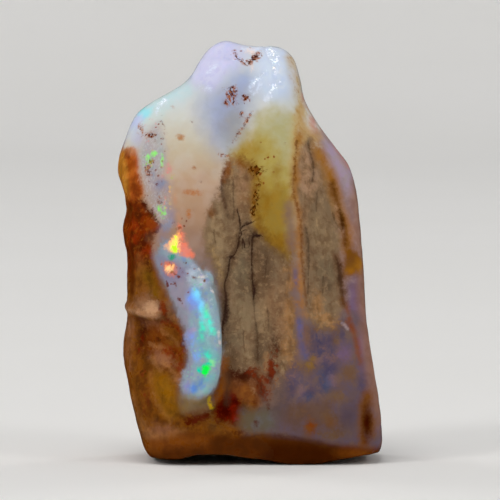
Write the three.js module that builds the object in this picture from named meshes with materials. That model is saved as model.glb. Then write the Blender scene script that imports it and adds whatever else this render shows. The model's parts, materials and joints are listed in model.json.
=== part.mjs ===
// A polished lump of fire opal that grew through a piece of wood, standing on its worn foot.
// Millimetres, +Z up. The face with the fire looks towards -Y, and +X is to its right.
// The origin is under the middle of the stone, on the surface that it stands on.

import * as THREE from "three";
import { ImprovedNoise } from "three/addons/math/ImprovedNoise.js";
import { mergeVertices } from "three/addons/utils/BufferGeometryUtils.js";

const { clamp, lerp, smoothstep } = THREE.MathUtils;

// Driving dimensions
const HEIGHT = 46.1; // foot to the tip of the taller knob
const FOOT_HALF_WIDTH = 14.5; // middle to the foot's right corner
const FACE_DEPTH = { foot: 9.4, top: 6.2 }; // middle to the front face
const BACK_DEPTH = { foot: 9.0, top: 5.6 }; // middle to the back
const THINNING = 1.4; // how late the stone thins towards the top: 1 is evenly all the way
const BACK_LEAN = 1.3; // how far the top stands behind the foot
const FOOT_WEAR = 1.7; // what the flat foot has lost of the round end
const FOOT_EDGE = 0.8; // height over which the foot rounds into the sides

// The point inside that sees the whole outline, and the reach that squares the outline up round it.
const HEART = { x: 0, z: HEIGHT * 0.45 };
const REACH = { x: FOOT_HALF_WIDTH, z: HEIGHT * 0.53 };

// How square the stone is in plan: 2 is an ellipse, and higher is squarer. It is at its roundest
// from this share of the height up.
const SQUARENESS = { foot: 7.5, top: 2.5, roundest: 0.75 };

// Away from the middle plane the outline is blurred, and turned a little, one way on the face and the
// other on the back, so that no side is plumb. From and to are shares of the depth, and turn is in
// radians.
const SIDES = { from: 0.3, to: 1, turn: 0.07 };

// The outline is read at this many angles, and blurred over so many of them each way.
const READINGS = { count: 720, blur: 30 };

// Where the face's relief grows in: forwards from the middle plane and inwards from the rim, as
// shares of the depth and the reach.
const RELIEF = { from: 0.1, to: 0.75, rim: 0.22 };

// Cells of the box that the stone is drawn out of, along X, Y and Z.
const CELLS = { x: 28, y: 16, z: 44 };

// The outline seen from the front, [x, z], clockwise from the foot's left corner.
const OUTLINE = [
  [-10.0, -1.4],
  [-11.5, 1.3],
  [-12.6, 5.0],
  [-13.5, 9.4],
  [-13.9, 12.5],
  [-13.45, 15.6],
  [-13.55, 19.8],
  [-13.6, 23.2],
  [-14.0, 25.3],
  [-13.6, 27.6],
  [-13.9, 29.6],
  [-14.6, 32.2],
  [-14.1, 34.2],
  [-13.3, 36.4],
  [-12.2, 38.2],
  [-9.3, 40.1],
  [-7.3, 41.3],
  [-6.2, 42.6],
  [-5.2, 44.4],
  [-3.9, 45.7],
  [-2.5, 46.1],
  [-0.9, 45.6],
  [0.9, 45.4],
  [3.0, 45.4],
  [4.4, 44.7],
  [5.3, 43.2],
  [5.8, 40.4],
  [6.7, 38.2],
  [9.3, 34.4],
  [10.9, 32.2],
  [11.75, 29.6],
  [12.0, 27.0],
  [12.35, 23.0],
  [12.6, 18.6],
  [12.8, 13.6],
  [13.3, 8.6],
  [14.3, 4.4],
  [14.5, 2.2],
  [14.1, 0.3],
  [12.7, -1.3],
  [6.0, -FOOT_WEAR],
  [-3.0, -FOOT_WEAR],
];

// Places on the face are given as the eye sees them: from straight in front, this far away and this
// many degrees from above, measured on the stone's middle plane.
const SIGHT = { away: 600, rise: 3 };

// Lumps (high above 0) and hollows (high below 0) of the front face: middle, reach each way, height
// and the turn of the long way from upright, in degrees.
const FACE_LUMPS = [
  { name: "left knob", x: -3.1, z: 43.0, wide: 2.9, tall: 3.2, high: 1.1 },
  { name: "right knob", x: 3.1, z: 42.8, wide: 2.4, tall: 3.4, high: 0.9 },
  { name: "saddle between them", x: 0.3, z: 43.6, wide: 1.5, tall: 2.6, high: -0.7, turn: 8 },
  { name: "blue valley", x: -1.6, z: 36.6, wide: 2.0, tall: 5.4, high: -0.85, turn: 16 },
  { name: "milky shoulder", x: -8.0, z: 34.0, wide: 4.2, tall: 6.0, high: 0.6 },
  { name: "milky cheek", x: -6.2, z: 26.8, wide: 3.0, tall: 5.0, high: 0.45 },
  { name: "honey swell", x: 2.8, z: 32.6, wide: 2.2, tall: 5.6, high: 0.5 },
  { name: "wood trough", x: 1.6, z: 17.2, wide: 3.4, tall: 11.5, high: -0.75 },
  { name: "pocket under the fold", x: -10.8, z: 12.4, wide: 2.1, tall: 2.7, high: -1.1, turn: -14 },
  { name: "fold over the pocket", x: -10.6, z: 16.2, wide: 2.9, tall: 0.9, high: 0.5, turn: -12 },
  { name: "waist of the left column", x: -11.4, z: 27.6, wide: 2.6, tall: 1.4, high: -0.45 },
  { name: "flank above the foot", x: -9.6, z: 5.2, wide: 2.6, tall: 3.6, high: 0.45 },
  { name: "lilac swell", x: 8.6, z: 8.4, wide: 4.6, tall: 4.2, high: 0.4 },
];

// Ridges and furrows of the front face: the line that each follows from the top down, its half
// width and its height.
const FACE_RIDGES = [
  {
    name: "edge of the right column",
    path: [[4.4, 43.6], [5.5, 39.6], [5.6, 34.0], [5.4, 27.0], [5.9, 20.0], [6.3, 14.0]],
    half: 1.3,
    high: 0.75,
  },
  {
    name: "furrow in the left column",
    path: [[-9.6, 24.6], [-9.2, 20.0], [-8.3, 15.0], [-7.6, 10.0]],
    half: 1.0,
    high: -0.6,
  },
  {
    name: "furrow beside the fire",
    path: [[-3.6, 22.2], [-2.4, 18.0], [-2.0, 12.0], [-2.2, 7.4], [-3.2, 4.6]],
    half: 0.8,
    high: -0.65,
  },
];

// The lens of bright opal that stands proud of the face, and how it steps down all round.
const FIRE_LENS = {
  outline: [
    [-8.9, 24.6], [-6.6, 23.4], [-4.4, 20.6], [-3.1, 17.4], [-2.7, 13.6], [-2.8, 9.6],
    [-3.7, 6.4], [-5.6, 5.2], [-7.2, 6.6], [-7.0, 10.6], [-7.6, 15.0], [-8.8, 20.0],
  ],
  high: 0.85,
  step: 2.4, // width of the step down
  fadeFrom: -9.2, // it rises out of the column between these two places, left to right
  fadeTo: -5.8,
};

// The right column turns away from the front past its edge.
const RIGHT_FACET = { from: 5.6, slope: 0.27, foot: 4, top: 19 };

// The lowest band of the face turns under along a ledge, from the fire lens to the right corner.
const FOOT_LEDGE = { top: 2.8, slope: 0.36, from: -4.5, to: -1.0 };

// How high the foot arches off the surface, [x, height] along the face and along the back: it stands
// on two lobes that run from front to back. The one turns into the other between two shares of the
// depth, from front to back.
const FOOT_ARCH = {
  face: [
    [-12.6, 0.9], [-10.6, 0.6], [-8.2, 0.6], [-5.6, 1.2], [-3.2, 1.2], [0.6, 0.7], [4.4, 0],
    [7.4, 0], [10.2, 0.6], [12.6, 0.9], [14.5, 1.1],
  ],
  back: [
    [-12.6, 0.4], [-10.8, 0], [-7.6, 0], [-4.6, 0.9], [-1.2, 0.7], [2.6, 0], [9.4, 0], [12.0, 0.6],
    [14.5, 0.8],
  ],
  turns: [-0.8, 0.3],
};

// Lumps and hollows of the sides and the back: middle, reach and height.
const BODY_LUMPS = [
  { name: "back of the left knob", at: [-3.4, 5.0, 43.0], reach: 3.4, high: 0.7 },
  { name: "back of the right knob", at: [3.4, 5.4, 41.8], reach: 3.0, high: 0.6 },
  { name: "notch between them", at: [0.2, 6.6, 42.6], reach: 2.4, high: -0.8 },
  { name: "back shoulder", at: [-8.8, 7.0, 33.0], reach: 5.0, high: 0.7 },
  { name: "back hollow", at: [-1.4, 9.0, 30.0], reach: 4.4, high: -1.2 },
  { name: "back rib, upper", at: [4.6, 8.2, 33.0], reach: 4.0, high: 0.8 },
  { name: "back rib, lower", at: [5.4, 9.6, 20.0], reach: 5.6, high: 0.8 },
  { name: "back furrow", at: [0.4, 10.0, 16.0], reach: 3.6, high: -0.9 },
  { name: "back belly", at: [-6.0, 9.6, 14.0], reach: 6.0, high: 0.9 },
  { name: "back pit", at: [-3.6, 9.4, 23.4], reach: 2.0, high: -0.8 },
  { name: "back pit, small", at: [8.6, 8.6, 11.6], reach: 1.8, high: -0.6 },
  { name: "left flank lump", at: [-13.6, 3.4, 32.0], reach: 3.2, high: 0.5 },
  { name: "left flank groove", at: [-13.4, 4.6, 26.4], reach: 2.4, high: -0.8 },
  { name: "left flank lump, lower", at: [-13.2, 4.4, 18.4], reach: 3.6, high: 0.6 },
  { name: "right flank hollow", at: [12.4, 3.4, 21.6], reach: 3.8, high: -0.8 },
  { name: "right flank lump", at: [11.2, 4.2, 30.0], reach: 3.4, high: 0.5 },
  { name: "right flank lump, lower", at: [13.4, 3.2, 9.4], reach: 3.6, high: 0.5 },
];

// A gentle waviness left by the polish: the height and the length of its waves.
const POLISH_WAVES = [
  { high: 0.32, length: 8.5 },
  { high: 0.14, length: 4.2 },
];

const FULL_TURN = Math.PI * 2;

// The distance from the heart to the outline by angle, in shares of REACH, read off one smooth
// closed curve. The second reading is blurred, for the rounder form off the middle plane.
function outlineReach(points) {
  const { count, blur } = READINGS;
  const curve = new THREE.CatmullRomCurve3(
    points.map(([x, z]) => new THREE.Vector3((x - HEART.x) / REACH.x, 0, (z - HEART.z) / REACH.z)),
    true,
    "centripetal",
  );
  const seen = curve
    .getPoints(count * 4)
    .map((p) => ({ angle: Math.atan2(p.z, p.x), reach: Math.hypot(p.x, p.z) }))
    .sort((a, b) => a.angle - b.angle);
  const sharp = Array.from({ length: count }, (_, i) => {
    const angle = -Math.PI + (i / count) * FULL_TURN;
    const after = seen.findIndex((s) => s.angle >= angle);
    const b = seen[after < 0 ? 0 : after];
    const a = seen[after < 1 ? seen.length - 1 : after - 1];
    const gap = (b.angle - a.angle + FULL_TURN) % FULL_TURN;
    const share = gap ? ((angle - a.angle + FULL_TURN) % FULL_TURN) / gap : 0;
    return lerp(a.reach, b.reach, share);
  });
  const soft = sharp.map((_, i) => {
    let sum = 0;
    for (let k = -blur; k <= blur; k++) sum += sharp[(i + k + count) % count];
    return sum / (2 * blur + 1);
  });
  return { sharp, soft };
}

// A value between the entries of a ring of readings.
function readRing(ring, angle) {
  const at = ((((angle + Math.PI) / FULL_TURN) % 1) + 1) % 1;
  const place = at * ring.length;
  const i = Math.floor(place) % ring.length;
  return lerp(ring[i], ring[(i + 1) % ring.length], place - Math.floor(place));
}

// The distance from [x, z] to a path, or to a closed outline with its inside below zero.
function distanceTo(path, x, z, closed = false) {
  let nearest = Infinity;
  let inside = false;
  const count = closed ? path.length : path.length - 1;
  for (let i = 0; i < count; i++) {
    const [ax, az] = path[i];
    const [bx, bz] = path[(i + 1) % path.length];
    const share = clamp(
      ((x - ax) * (bx - ax) + (z - az) * (bz - az)) / ((bx - ax) ** 2 + (bz - az) ** 2),
      0,
      1,
    );
    nearest = Math.min(nearest, Math.hypot(x - lerp(ax, bx, share), z - lerp(az, bz, share)));
    if (closed && az > z !== bz > z && x < ax + ((z - az) / (bz - az)) * (bx - ax)) inside = !inside;
  }
  return inside ? -nearest : nearest;
}

// A height read off a row of [x, height] pairs.
function readProfile(row, x) {
  const after = row.findIndex(([at]) => at > x);
  if (after < 1) return row[after === 0 ? 0 : row.length - 1][1];
  const [ax, a] = row[after - 1];
  const [bx, b] = row[after];
  return lerp(a, b, smoothstep(x, ax, bx));
}

const bell = (share) => Math.exp(-share * share);

// The larger of two values, rounded over where they come within a blend of each other.
function softMax(a, b, blend) {
  const near = Math.max(blend - Math.abs(a - b), 0) / blend;
  return Math.max(a, b) + (near * near * blend) / 4;
}

function lumpHeight(lump, x, z) {
  const turn = THREE.MathUtils.degToRad(lump.turn ?? 0);
  const dx = x - lump.x;
  const dz = z - lump.z;
  const across = dx * Math.cos(turn) - dz * Math.sin(turn);
  const along = dx * Math.sin(turn) + dz * Math.cos(turn);
  return lump.high * bell(Math.hypot(across / lump.wide, along / lump.tall));
}

function lensHeight(x, z) {
  const depthIn = -distanceTo(FIRE_LENS.outline, x, z, true);
  const rise = smoothstep(depthIn, -FIRE_LENS.step / 2, FIRE_LENS.step / 2);
  return FIRE_LENS.high * rise * smoothstep(x, FIRE_LENS.fadeFrom, FIRE_LENS.fadeTo);
}

function facetHeight(x, z) {
  const low = smoothstep(z, RIGHT_FACET.foot, RIGHT_FACET.top);
  return -RIGHT_FACET.slope * Math.max(0, x - RIGHT_FACET.from) * low;
}

function ledgeHeight(x, z) {
  const along = smoothstep(x, FOOT_LEDGE.from, FOOT_LEDGE.to);
  return -FOOT_LEDGE.slope * Math.max(0, FOOT_LEDGE.top - z) * along;
}

// Where a point is seen from the front, [x, z] on the middle plane.
function seenFromFront(point) {
  const rise = THREE.MathUtils.degToRad(SIGHT.rise);
  const above = point.z - HEIGHT / 2;
  const depth = SIGHT.away + point.y * Math.cos(rise) - above * Math.sin(rise);
  const scale = SIGHT.away / depth;
  const high = above * Math.cos(rise) + point.y * Math.sin(rise);
  return [point.x * scale, HEIGHT / 2 + high * scale];
}

// How far the front face stands out from its even form where it is seen at [x, z].
function faceRelief(x, z) {
  let height = lensHeight(x, z) + facetHeight(x, z) + ledgeHeight(x, z);
  for (const lump of FACE_LUMPS) height += lumpHeight(lump, x, z);
  for (const ridge of FACE_RIDGES) height += ridge.high * bell(distanceTo(ridge.path, x, z) / ridge.half);
  return height;
}

const noise = new ImprovedNoise();

function polishWave(p) {
  let height = 0;
  for (const { high, length } of POLISH_WAVES) {
    height += high * noise.noise(p.x / length, p.y / length, p.z / length);
  }
  return height;
}

// Carries a point of a box of side 2 to the stone's even form: a squarish body under the outline.
function evenForm(box, reach) {
  const n = lerp(SQUARENESS.foot, SQUARENESS.top, smoothstep((box.z + 1) / 2, 0, SQUARENESS.roundest));
  const size = (Math.abs(box.x) ** n + Math.abs(box.y) ** n + Math.abs(box.z) ** n) ** (1 / n);
  const [u, v, w] = [box.x / size, box.y / size, box.z / size];
  const share = (Math.abs(u) ** n + Math.abs(w) ** n) ** (1 / n);
  const offPlane = smoothstep(Math.abs(v), SIDES.from, SIDES.to);
  const angle = Math.atan2(w, u);
  const read = angle + Math.sign(v) * offPlane * SIDES.turn;
  const out = share * lerp(readRing(reach.sharp, read), readRing(reach.soft, read), offPlane);
  const x = HEART.x + REACH.x * out * Math.cos(angle);
  const z = HEART.z + REACH.z * out * Math.sin(angle);
  const depth = v < 0 ? FACE_DEPTH : BACK_DEPTH;
  const high = clamp(z / HEIGHT, 0, 1);
  const y = v * lerp(depth.foot, depth.top, high ** THINNING) + BACK_LEAN * high ** 2;
  return { point: new THREE.Vector3(x, y, z), v, share, offPlane };
}

// How far the sides and the back stand out at a point from their even form.
function bodyRelief(point) {
  let height = polishWave(point);
  for (const lump of BODY_LUMPS) {
    height += lump.high * bell(point.distanceTo(new THREE.Vector3(...lump.at)) / lump.reach);
  }
  return height;
}

// The lowest that the stone reaches at x, v of the depth behind the middle plane.
function footHeight(x, v) {
  const onFace = readProfile(FOOT_ARCH.face, x);
  const behind = readProfile(FOOT_ARCH.back, x);
  return lerp(onFace, behind, smoothstep(v, ...FOOT_ARCH.turns));
}

// The stone's surface at a point of the box: the even form with its lumps, ridges, lens and foot.
function stonePoint(box, reach) {
  const { point, v, share, offPlane } = evenForm(box, reach);
  const outward = new THREE.Vector3(point.x / REACH.x ** 2, point.y / BACK_DEPTH.foot ** 2, 0);
  if (outward.lengthSq() > 0) outward.normalize();
  const onFace = smoothstep(-v, RELIEF.from, RELIEF.to) * smoothstep(1 - share, 0, RELIEF.rim);
  const lumps = bodyRelief(point) * offPlane;
  point.y -= faceRelief(...seenFromFront(point)) * onFace;
  point.addScaledVector(outward, lumps);
  point.z = softMax(point.z, footHeight(point.x, v), FOOT_EDGE);
  return point;
}

function stoneGeometry() {
  const reach = outlineReach(OUTLINE);
  const box = new THREE.BoxGeometry(2, 2, 2, CELLS.x, CELLS.y, CELLS.z);
  box.deleteAttribute("normal");
  box.deleteAttribute("uv");
  const geometry = mergeVertices(box, 1e-4);
  const position = geometry.getAttribute("position");
  const at = new THREE.Vector3();
  for (let i = 0; i < position.count; i++) {
    at.fromBufferAttribute(position, i);
    position.setXYZ(i, ...stonePoint(at, reach));
  }
  geometry.computeBoundingBox();
  const { min, max } = geometry.boundingBox;
  geometry.translate(-(min.x + max.x) / 2, -(min.y + max.y) / 2, -min.z);
  geometry.computeVertexNormals();
  return geometry;
}

const opal = new THREE.MeshStandardMaterial({ color: 0xc9c3c4, roughness: 0.25, metalness: 0 });

const stone = new THREE.Mesh(stoneGeometry(), opal);
stone.name = "fire_opal";

const part = new THREE.Group();
part.add(stone);

export default part;
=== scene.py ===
# %% [markdown]
# # A polished fire opal
# The real thing is one natural stone. Milky opal, honey opal, rusty opal and the wood that they grew
# through are all one piece, ground and polished by hand. So there is one mesh here, and nearly all
# of the work is in its skin: shallow relief that catches the light, and colours that lie where they
# lie on the stone, with some painted highlights and painted shade among them.

# %% Load the solid
import json
import math

import bpy
import numpy as np
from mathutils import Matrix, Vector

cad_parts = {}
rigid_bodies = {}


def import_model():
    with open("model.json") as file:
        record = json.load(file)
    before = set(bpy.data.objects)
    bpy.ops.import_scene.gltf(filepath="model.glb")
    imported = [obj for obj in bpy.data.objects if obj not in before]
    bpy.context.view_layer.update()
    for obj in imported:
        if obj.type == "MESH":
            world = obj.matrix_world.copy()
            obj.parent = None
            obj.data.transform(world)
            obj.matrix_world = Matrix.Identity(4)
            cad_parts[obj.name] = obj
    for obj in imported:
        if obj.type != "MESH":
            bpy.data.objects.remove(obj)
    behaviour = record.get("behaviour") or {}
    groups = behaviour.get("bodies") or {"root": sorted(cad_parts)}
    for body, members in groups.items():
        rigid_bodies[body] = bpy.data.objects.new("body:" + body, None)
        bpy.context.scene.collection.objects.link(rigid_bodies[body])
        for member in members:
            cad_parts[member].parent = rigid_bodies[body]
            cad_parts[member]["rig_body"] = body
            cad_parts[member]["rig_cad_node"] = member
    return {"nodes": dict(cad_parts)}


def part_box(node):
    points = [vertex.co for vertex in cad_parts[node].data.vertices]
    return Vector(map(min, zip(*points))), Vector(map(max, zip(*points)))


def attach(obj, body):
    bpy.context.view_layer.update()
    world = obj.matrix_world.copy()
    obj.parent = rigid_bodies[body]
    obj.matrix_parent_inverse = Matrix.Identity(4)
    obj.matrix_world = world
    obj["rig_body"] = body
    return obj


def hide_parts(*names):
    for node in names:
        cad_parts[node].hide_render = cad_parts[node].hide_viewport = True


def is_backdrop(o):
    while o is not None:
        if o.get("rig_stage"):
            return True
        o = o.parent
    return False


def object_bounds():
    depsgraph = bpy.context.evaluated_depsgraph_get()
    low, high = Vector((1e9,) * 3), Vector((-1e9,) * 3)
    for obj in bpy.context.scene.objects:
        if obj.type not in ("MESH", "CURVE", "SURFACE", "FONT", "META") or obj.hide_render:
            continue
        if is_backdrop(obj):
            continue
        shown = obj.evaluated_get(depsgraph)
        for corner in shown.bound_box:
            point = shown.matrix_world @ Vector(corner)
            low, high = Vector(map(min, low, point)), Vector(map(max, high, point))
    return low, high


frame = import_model()
cad_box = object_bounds()
solid = frame["nodes"]["fire_opal"]
MM = 0.001
sides = [round(v / MM, 1) for v in cad_box[1] - cad_box[0]]
print("solid:", len(solid.data.polygons), "triangles,", sides, "mm")

# %% [markdown]
# ## The eye
# A stone this small is photographed from well back with a long lens, almost level with it, so that
# its sides stay nearly parallel. The camera comes first because the places of the marks are read as
# this eye sees them. The lens follows from how wide a strip of the stone's own plane fills the frame.

# %% Camera
SIGHT = {"away": 600, "rise": 3, "wide": 55}  # mm, degrees above the horizon, and mm across the frame
MIDDLE = 23.05  # mm above the floor, the height that the eye looks at
SIDEWAYS = 0.05  # mm, how far right of the middle it looks
SENSOR = 36  # mm

rise = math.radians(SIGHT["rise"])
bpy.ops.object.select_all(action="DESELECT")
bpy.ops.object.camera_add(
    location=(
        SIDEWAYS * MM,
        -SIGHT["away"] * MM * math.cos(rise),
        (MIDDLE + SIGHT["away"] * math.sin(rise)) * MM,
    ),
    rotation=(math.radians(90) - rise, 0, 0),
)
camera = bpy.context.active_object
camera.name = "camera"
camera.data.sensor_width = SENSOR
camera.data.lens = SENSOR * SIGHT["away"] / SIGHT["wide"]
bpy.context.scene.camera = camera
print("camera: a", round(camera.data.lens), "mm lens")

# %% [markdown]
# ## Colours and nodes
# Colours are written as sRGB hex, as any picture program shows them, and turned to the linear
# values that a shader works with. One helper adds a node, gives it its settings and joins it up, so
# that a material reads as a list of steps.

# %% Helpers for materials
def colour(code, share=1.0):
    """An sRGB hex colour as a linear one, dimmed to a share of itself."""
    parts = [int(code[i : i + 2], 16) / 255 for i in (0, 2, 4)]
    linear = [p / 12.92 if p <= 0.04045 else ((p + 0.055) / 1.055) ** 2.4 for p in parts]
    return (*[share * p for p in linear], 1.0)


def add(tree, kind, inputs=None, **settings):
    """Adds a node with its settings. Its inputs take numbers, colours or other nodes' outputs."""
    node = tree.nodes.new(kind)
    for name, value in settings.items():
        setattr(node, name, value)
    for key, value in (inputs or {}).items():
        if isinstance(value, bpy.types.NodeSocket):
            tree.links.new(value, node.inputs[key])
        else:
            node.inputs[key].default_value = value
    return node


# %% [markdown]
# ## The floor
# A small stone is shown on a sheet of pale paper that curves up all round, so that there is no
# horizon behind it. It could be one big plane, but from low down its far edge would show. Here a
# filled disc has its rim drawn outwards and upwards in short steps, along a quarter of a circle.
# The paper and the sky don't show in the polish, as if black card stood just out of the picture:
# their pale reflection would lie over the rims as a haze.

# %% Floor
FLAT = 0.9  # m, radius of the flat part
CURVE = 0.9  # m, radius of the curve up
STEPS = 12
MOTTLING = 25  # mm, the paper's slow change of tone

bpy.ops.object.select_all(action="DESELECT")
bpy.ops.mesh.primitive_circle_add(vertices=128, radius=FLAT, fill_type="NGON")
floor = bpy.context.active_object
floor.name = "paper_floor"
bpy.ops.object.mode_set(mode="EDIT")
bpy.ops.mesh.select_mode(type="EDGE")
bpy.ops.mesh.select_all(action="SELECT")
bpy.ops.mesh.region_to_loop()
reach, lift = FLAT, 0.0
for step in range(1, STEPS + 1):
    turn = math.radians(90) * step / STEPS
    wider = FLAT + CURVE * math.sin(turn)
    higher = CURVE * (1 - math.cos(turn))
    bpy.ops.mesh.extrude_edges_move(TRANSFORM_OT_translate={"value": (0, 0, higher - lift)})
    bpy.ops.transform.resize(value=(wider / reach, wider / reach, 1))
    reach, lift = wider, higher
bpy.ops.object.mode_set(mode="OBJECT")
bpy.ops.object.shade_smooth()

# Uncoated paper: it is matt, pale and a little warm.
paper = bpy.data.materials.new("uncoated_paper")
paper.use_nodes = True
tree = paper.node_tree
shader = tree.nodes["Principled BSDF"]
shader.inputs["Roughness"].default_value = 0.6
shader.inputs["IOR"].default_value = 1.45
mottling = add(tree, "ShaderNodeTexNoise", {"Scale": 1 / (MOTTLING * MM), "Detail": 3})
tone = add(
    tree,
    "ShaderNodeMix",
    {0: mottling.outputs["Fac"], 6: colour("F0EEEA"), 7: colour("F3F1EE")},
    data_type="RGBA",
)
tree.links.new(tone.outputs[2], shader.inputs["Base Color"])
floor.data.materials.append(paper)
floor.visible_glossy = False
floor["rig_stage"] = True
print("floor:", len(floor.data.polygons), "faces")

# %% [markdown]
# ## The light
# Soft boxes all round make a plain studio. The largest hangs overhead and a little in front, so the
# top of the stone is the brightest, as in the photograph. Two boxes behind it, left and right, send
# light through the thin edges, which is what makes opal glow there. Only the overhead box shows in
# the polish. The others would lie over the dark opal as a haze, or draw a white line along the rims.

# %% Lights
BOXES = [
    {"name": "overhead", "at": (-0.15, -0.5, 1.4), "size": 0.8, "watts": 8.5},
    {"name": "front_left", "at": (-1.1, -1.1, 0.9), "size": 0.5, "watts": 7.5},
    {"name": "front_right", "at": (1.2, -1.0, 0.8), "size": 0.6, "watts": 4.5},
    {"name": "back_left", "at": (-1.0, 1.0, 0.9), "size": 0.6, "watts": 4},
    {"name": "back_right", "at": (1.0, 1.1, 0.9), "size": 0.6, "watts": 4},
]
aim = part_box("fire_opal")[1] / 2
for box in BOXES:
    bpy.ops.object.light_add(type="AREA", location=box["at"])
    lamp = bpy.context.active_object
    lamp.name = box["name"]
    lamp.rotation_euler = (aim - lamp.location).to_track_quat("-Z", "Y").to_euler()
    lamp.data.shape = "DISK"
    lamp.data.size = box["size"]
    lamp.data.energy = box["watts"]
    lamp.visible_camera = False
    lamp.visible_glossy = box["name"] == "overhead"

world = bpy.data.worlds.new("studio")
bpy.context.scene.world = world
world.use_nodes = True
world.node_tree.nodes["Background"].inputs["Color"].default_value = colour("E6EAF0")
world.node_tree.nodes["Background"].inputs["Strength"].default_value = 0.3
world.cycles_visibility.glossy = False
bpy.context.scene.view_settings.view_transform = "Standard"
print("lights:", len(BOXES), "soft boxes")

# %% [markdown]
# ## The stone's mesh
# The solid has the stone's whole form, in flat triangles. A copy of it is merged, its triangles are
# paired into squares, and two levels of subdivision round it. That leaves a point every quarter of a
# millimetre, close enough for the chips and cracks to be real shape.

# %% Copy and round the solid
LEVELS = 2

bpy.ops.object.select_all(action="DESELECT")
solid.select_set(True)
bpy.context.view_layer.objects.active = solid
bpy.ops.object.duplicate()
stone = bpy.context.active_object
bpy.ops.object.parent_clear(type="CLEAR_KEEP_TRANSFORM")
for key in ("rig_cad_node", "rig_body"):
    del stone[key]
stone.name = "polished_fire_opal"
stone.data.name = "polished_fire_opal"
stone.data.materials.clear()

bpy.ops.object.mode_set(mode="EDIT")
bpy.ops.mesh.select_all(action="SELECT")
bpy.ops.mesh.remove_doubles(threshold=0.001 * MM)
bpy.ops.mesh.tris_convert_to_quads(face_threshold=math.radians(60), shape_threshold=math.radians(60))
bpy.ops.object.mode_set(mode="OBJECT")
rounding = stone.modifiers.new("rounding", "SUBSURF")
rounding.levels = LEVELS
rounding.render_levels = LEVELS
bpy.ops.object.modifier_apply(modifier=rounding.name)
bpy.ops.object.shade_smooth()
print("stone:", len(stone.data.vertices), "points")

# %% [markdown]
# ## Where things are on the stone
# Every colour and every mark below is drawn in millimetres, as an outline, a stroke or a spot.
# Those of the face are drawn as the eye sees it from the front, and those of the back and the flanks
# straight on. An outline runs past the stone where its colour goes on round the rim. For each point
# of the mesh the distance to the nearest edge of a mark is worked out, below zero inside. A distance
# keeps an edge sharp between two points of the mesh, where a painted colour would blur, and it lets
# the material fray the edge as finely as it likes.

# %% Read the points
points = np.empty(len(stone.data.vertices) * 3, np.float32)
stone.data.vertices.foreach_get("co", points)
x, y, z = points.reshape(-1, 3).T.astype(float) / MM

depth = SIGHT["away"] + y * math.cos(rise) - (z - MIDDLE) * math.sin(rise)
seen_x = x * SIGHT["away"] / depth
seen_z = MIDDLE + ((z - MIDDLE) * math.cos(rise) + y * math.sin(rise)) * SIGHT["away"] / depth

# Across, up and through, for each way of looking at the stone, and how far through a mark goes.
BEYOND = 99  # mm, farther than the stone reaches
LOOKS = {
    "face": (seen_x, seen_z, y, (-BEYOND, 2.2)),
    "back": (x, z, y, (0.5, BEYOND)),
    "left": (y, z, x, (-BEYOND, -5)),
    "right": (y, z, x, (5, BEYOND)),
}
print("points read:", len(x))

# %% Curves and distances
FAR = 4.0  # mm, past which a distance makes no difference to an edge
SPAN_STEPS = 5  # short lines that make up the curve from one drawn point to the next
TINY = 1e-9  # keeps a length of nothing from being divided by


def smooth_path(drawn, closed):
    """Short lines along the round curve through the drawn points."""
    drawn = np.array(drawn, float)
    if closed:
        drawn = np.vstack([drawn[-1:], drawn, drawn[:2]])
    else:
        drawn = np.vstack([drawn[:1], drawn, drawn[-1:]])
    a, b, c, d = (drawn[i : len(drawn) - 3 + i, None] for i in range(4))
    t = np.linspace(0, 1, SPAN_STEPS, endpoint=False)[None, :, None]
    curve = b + 0.5 * t * (c - a + t * (2 * a - 5 * b + 4 * c - d + t * (3 * (b - c) + d - a)))
    curve = curve.reshape(-1, 2)
    return curve if closed else np.vstack([curve, drawn[-1:]])


def distance(drawn, across, up, closed):
    """How far each point is from a drawn line, in mm, and which side of it the point is on.

    Inside a closed line the distance is below zero.
    """
    path = smooth_path(drawn, closed)
    low, high = path.min(0) - FAR, path.max(0) + FAR
    close = (across > low[0]) & (across < high[0]) & (up > low[1]) & (up < high[1])
    u, v = across[close], up[close]
    nearest = np.full(len(u), FAR)
    sides = np.ones(len(u))
    inside = np.zeros(len(u), bool)
    ends = np.roll(path, -1, 0) if closed else path[1:]
    for (ax, ay), (bx, by) in zip(path, ends):
        dx, dy = bx - ax, by - ay
        share = np.clip(((u - ax) * dx + (v - ay) * dy) / max(dx * dx + dy * dy, TINY), 0, 1)
        gap = np.hypot(u - ax - share * dx, v - ay - share * dy)
        sides = np.where(gap < nearest, np.sign(dx * (v - ay) - dy * (u - ax)), sides)
        nearest = np.minimum(nearest, gap)
        if closed and ay != by:
            inside ^= ((ay > v) != (by > v)) & (u < ax + (v - ay) / dy * dx)
    found = np.full(len(across), FAR)
    found[close] = np.where(inside, -nearest, nearest)
    side = np.ones(len(across))
    side[close] = sides
    return found, side


# %% Areas, strokes and spots
def within(edge, through, limits):
    """Ends a mark where it has gone as far through the stone as it goes."""
    return np.maximum(edge, np.maximum(limits[0] - through, through - limits[1]))


def area(drawn, look="face", limits=None):
    """The inside of a closed outline."""
    across, up, through, usual = LOOKS[look]
    return within(distance(drawn, across, up, True)[0], through, limits or usual)


def stroke(drawn, half, look="face", limits=None):
    """A line of one width."""
    across, up, through, usual = LOOKS[look]
    return within(distance(drawn, across, up, False)[0] - half, through, limits or usual)


def hairline(drawn, look="face", limits=None):
    """A line that may be thinner than the mesh is fine: its distance, and that distance by side."""
    across, up, through, usual = LOOKS[look]
    gap, side = distance(drawn, across, up, False)
    return within(gap, through, limits or usual), gap * side


def spot(middle_x, middle_z, wide, tall=None, look="face"):
    """A round or oval spot, with its half width and half height."""
    across, up, through, usual = LOOKS[look]
    tall = tall or wide
    round_off = np.hypot((across - middle_x) / wide, (up - middle_z) / tall) - 1
    return within(np.minimum(round_off * min(wide, tall), FAR), through, usual)


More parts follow.
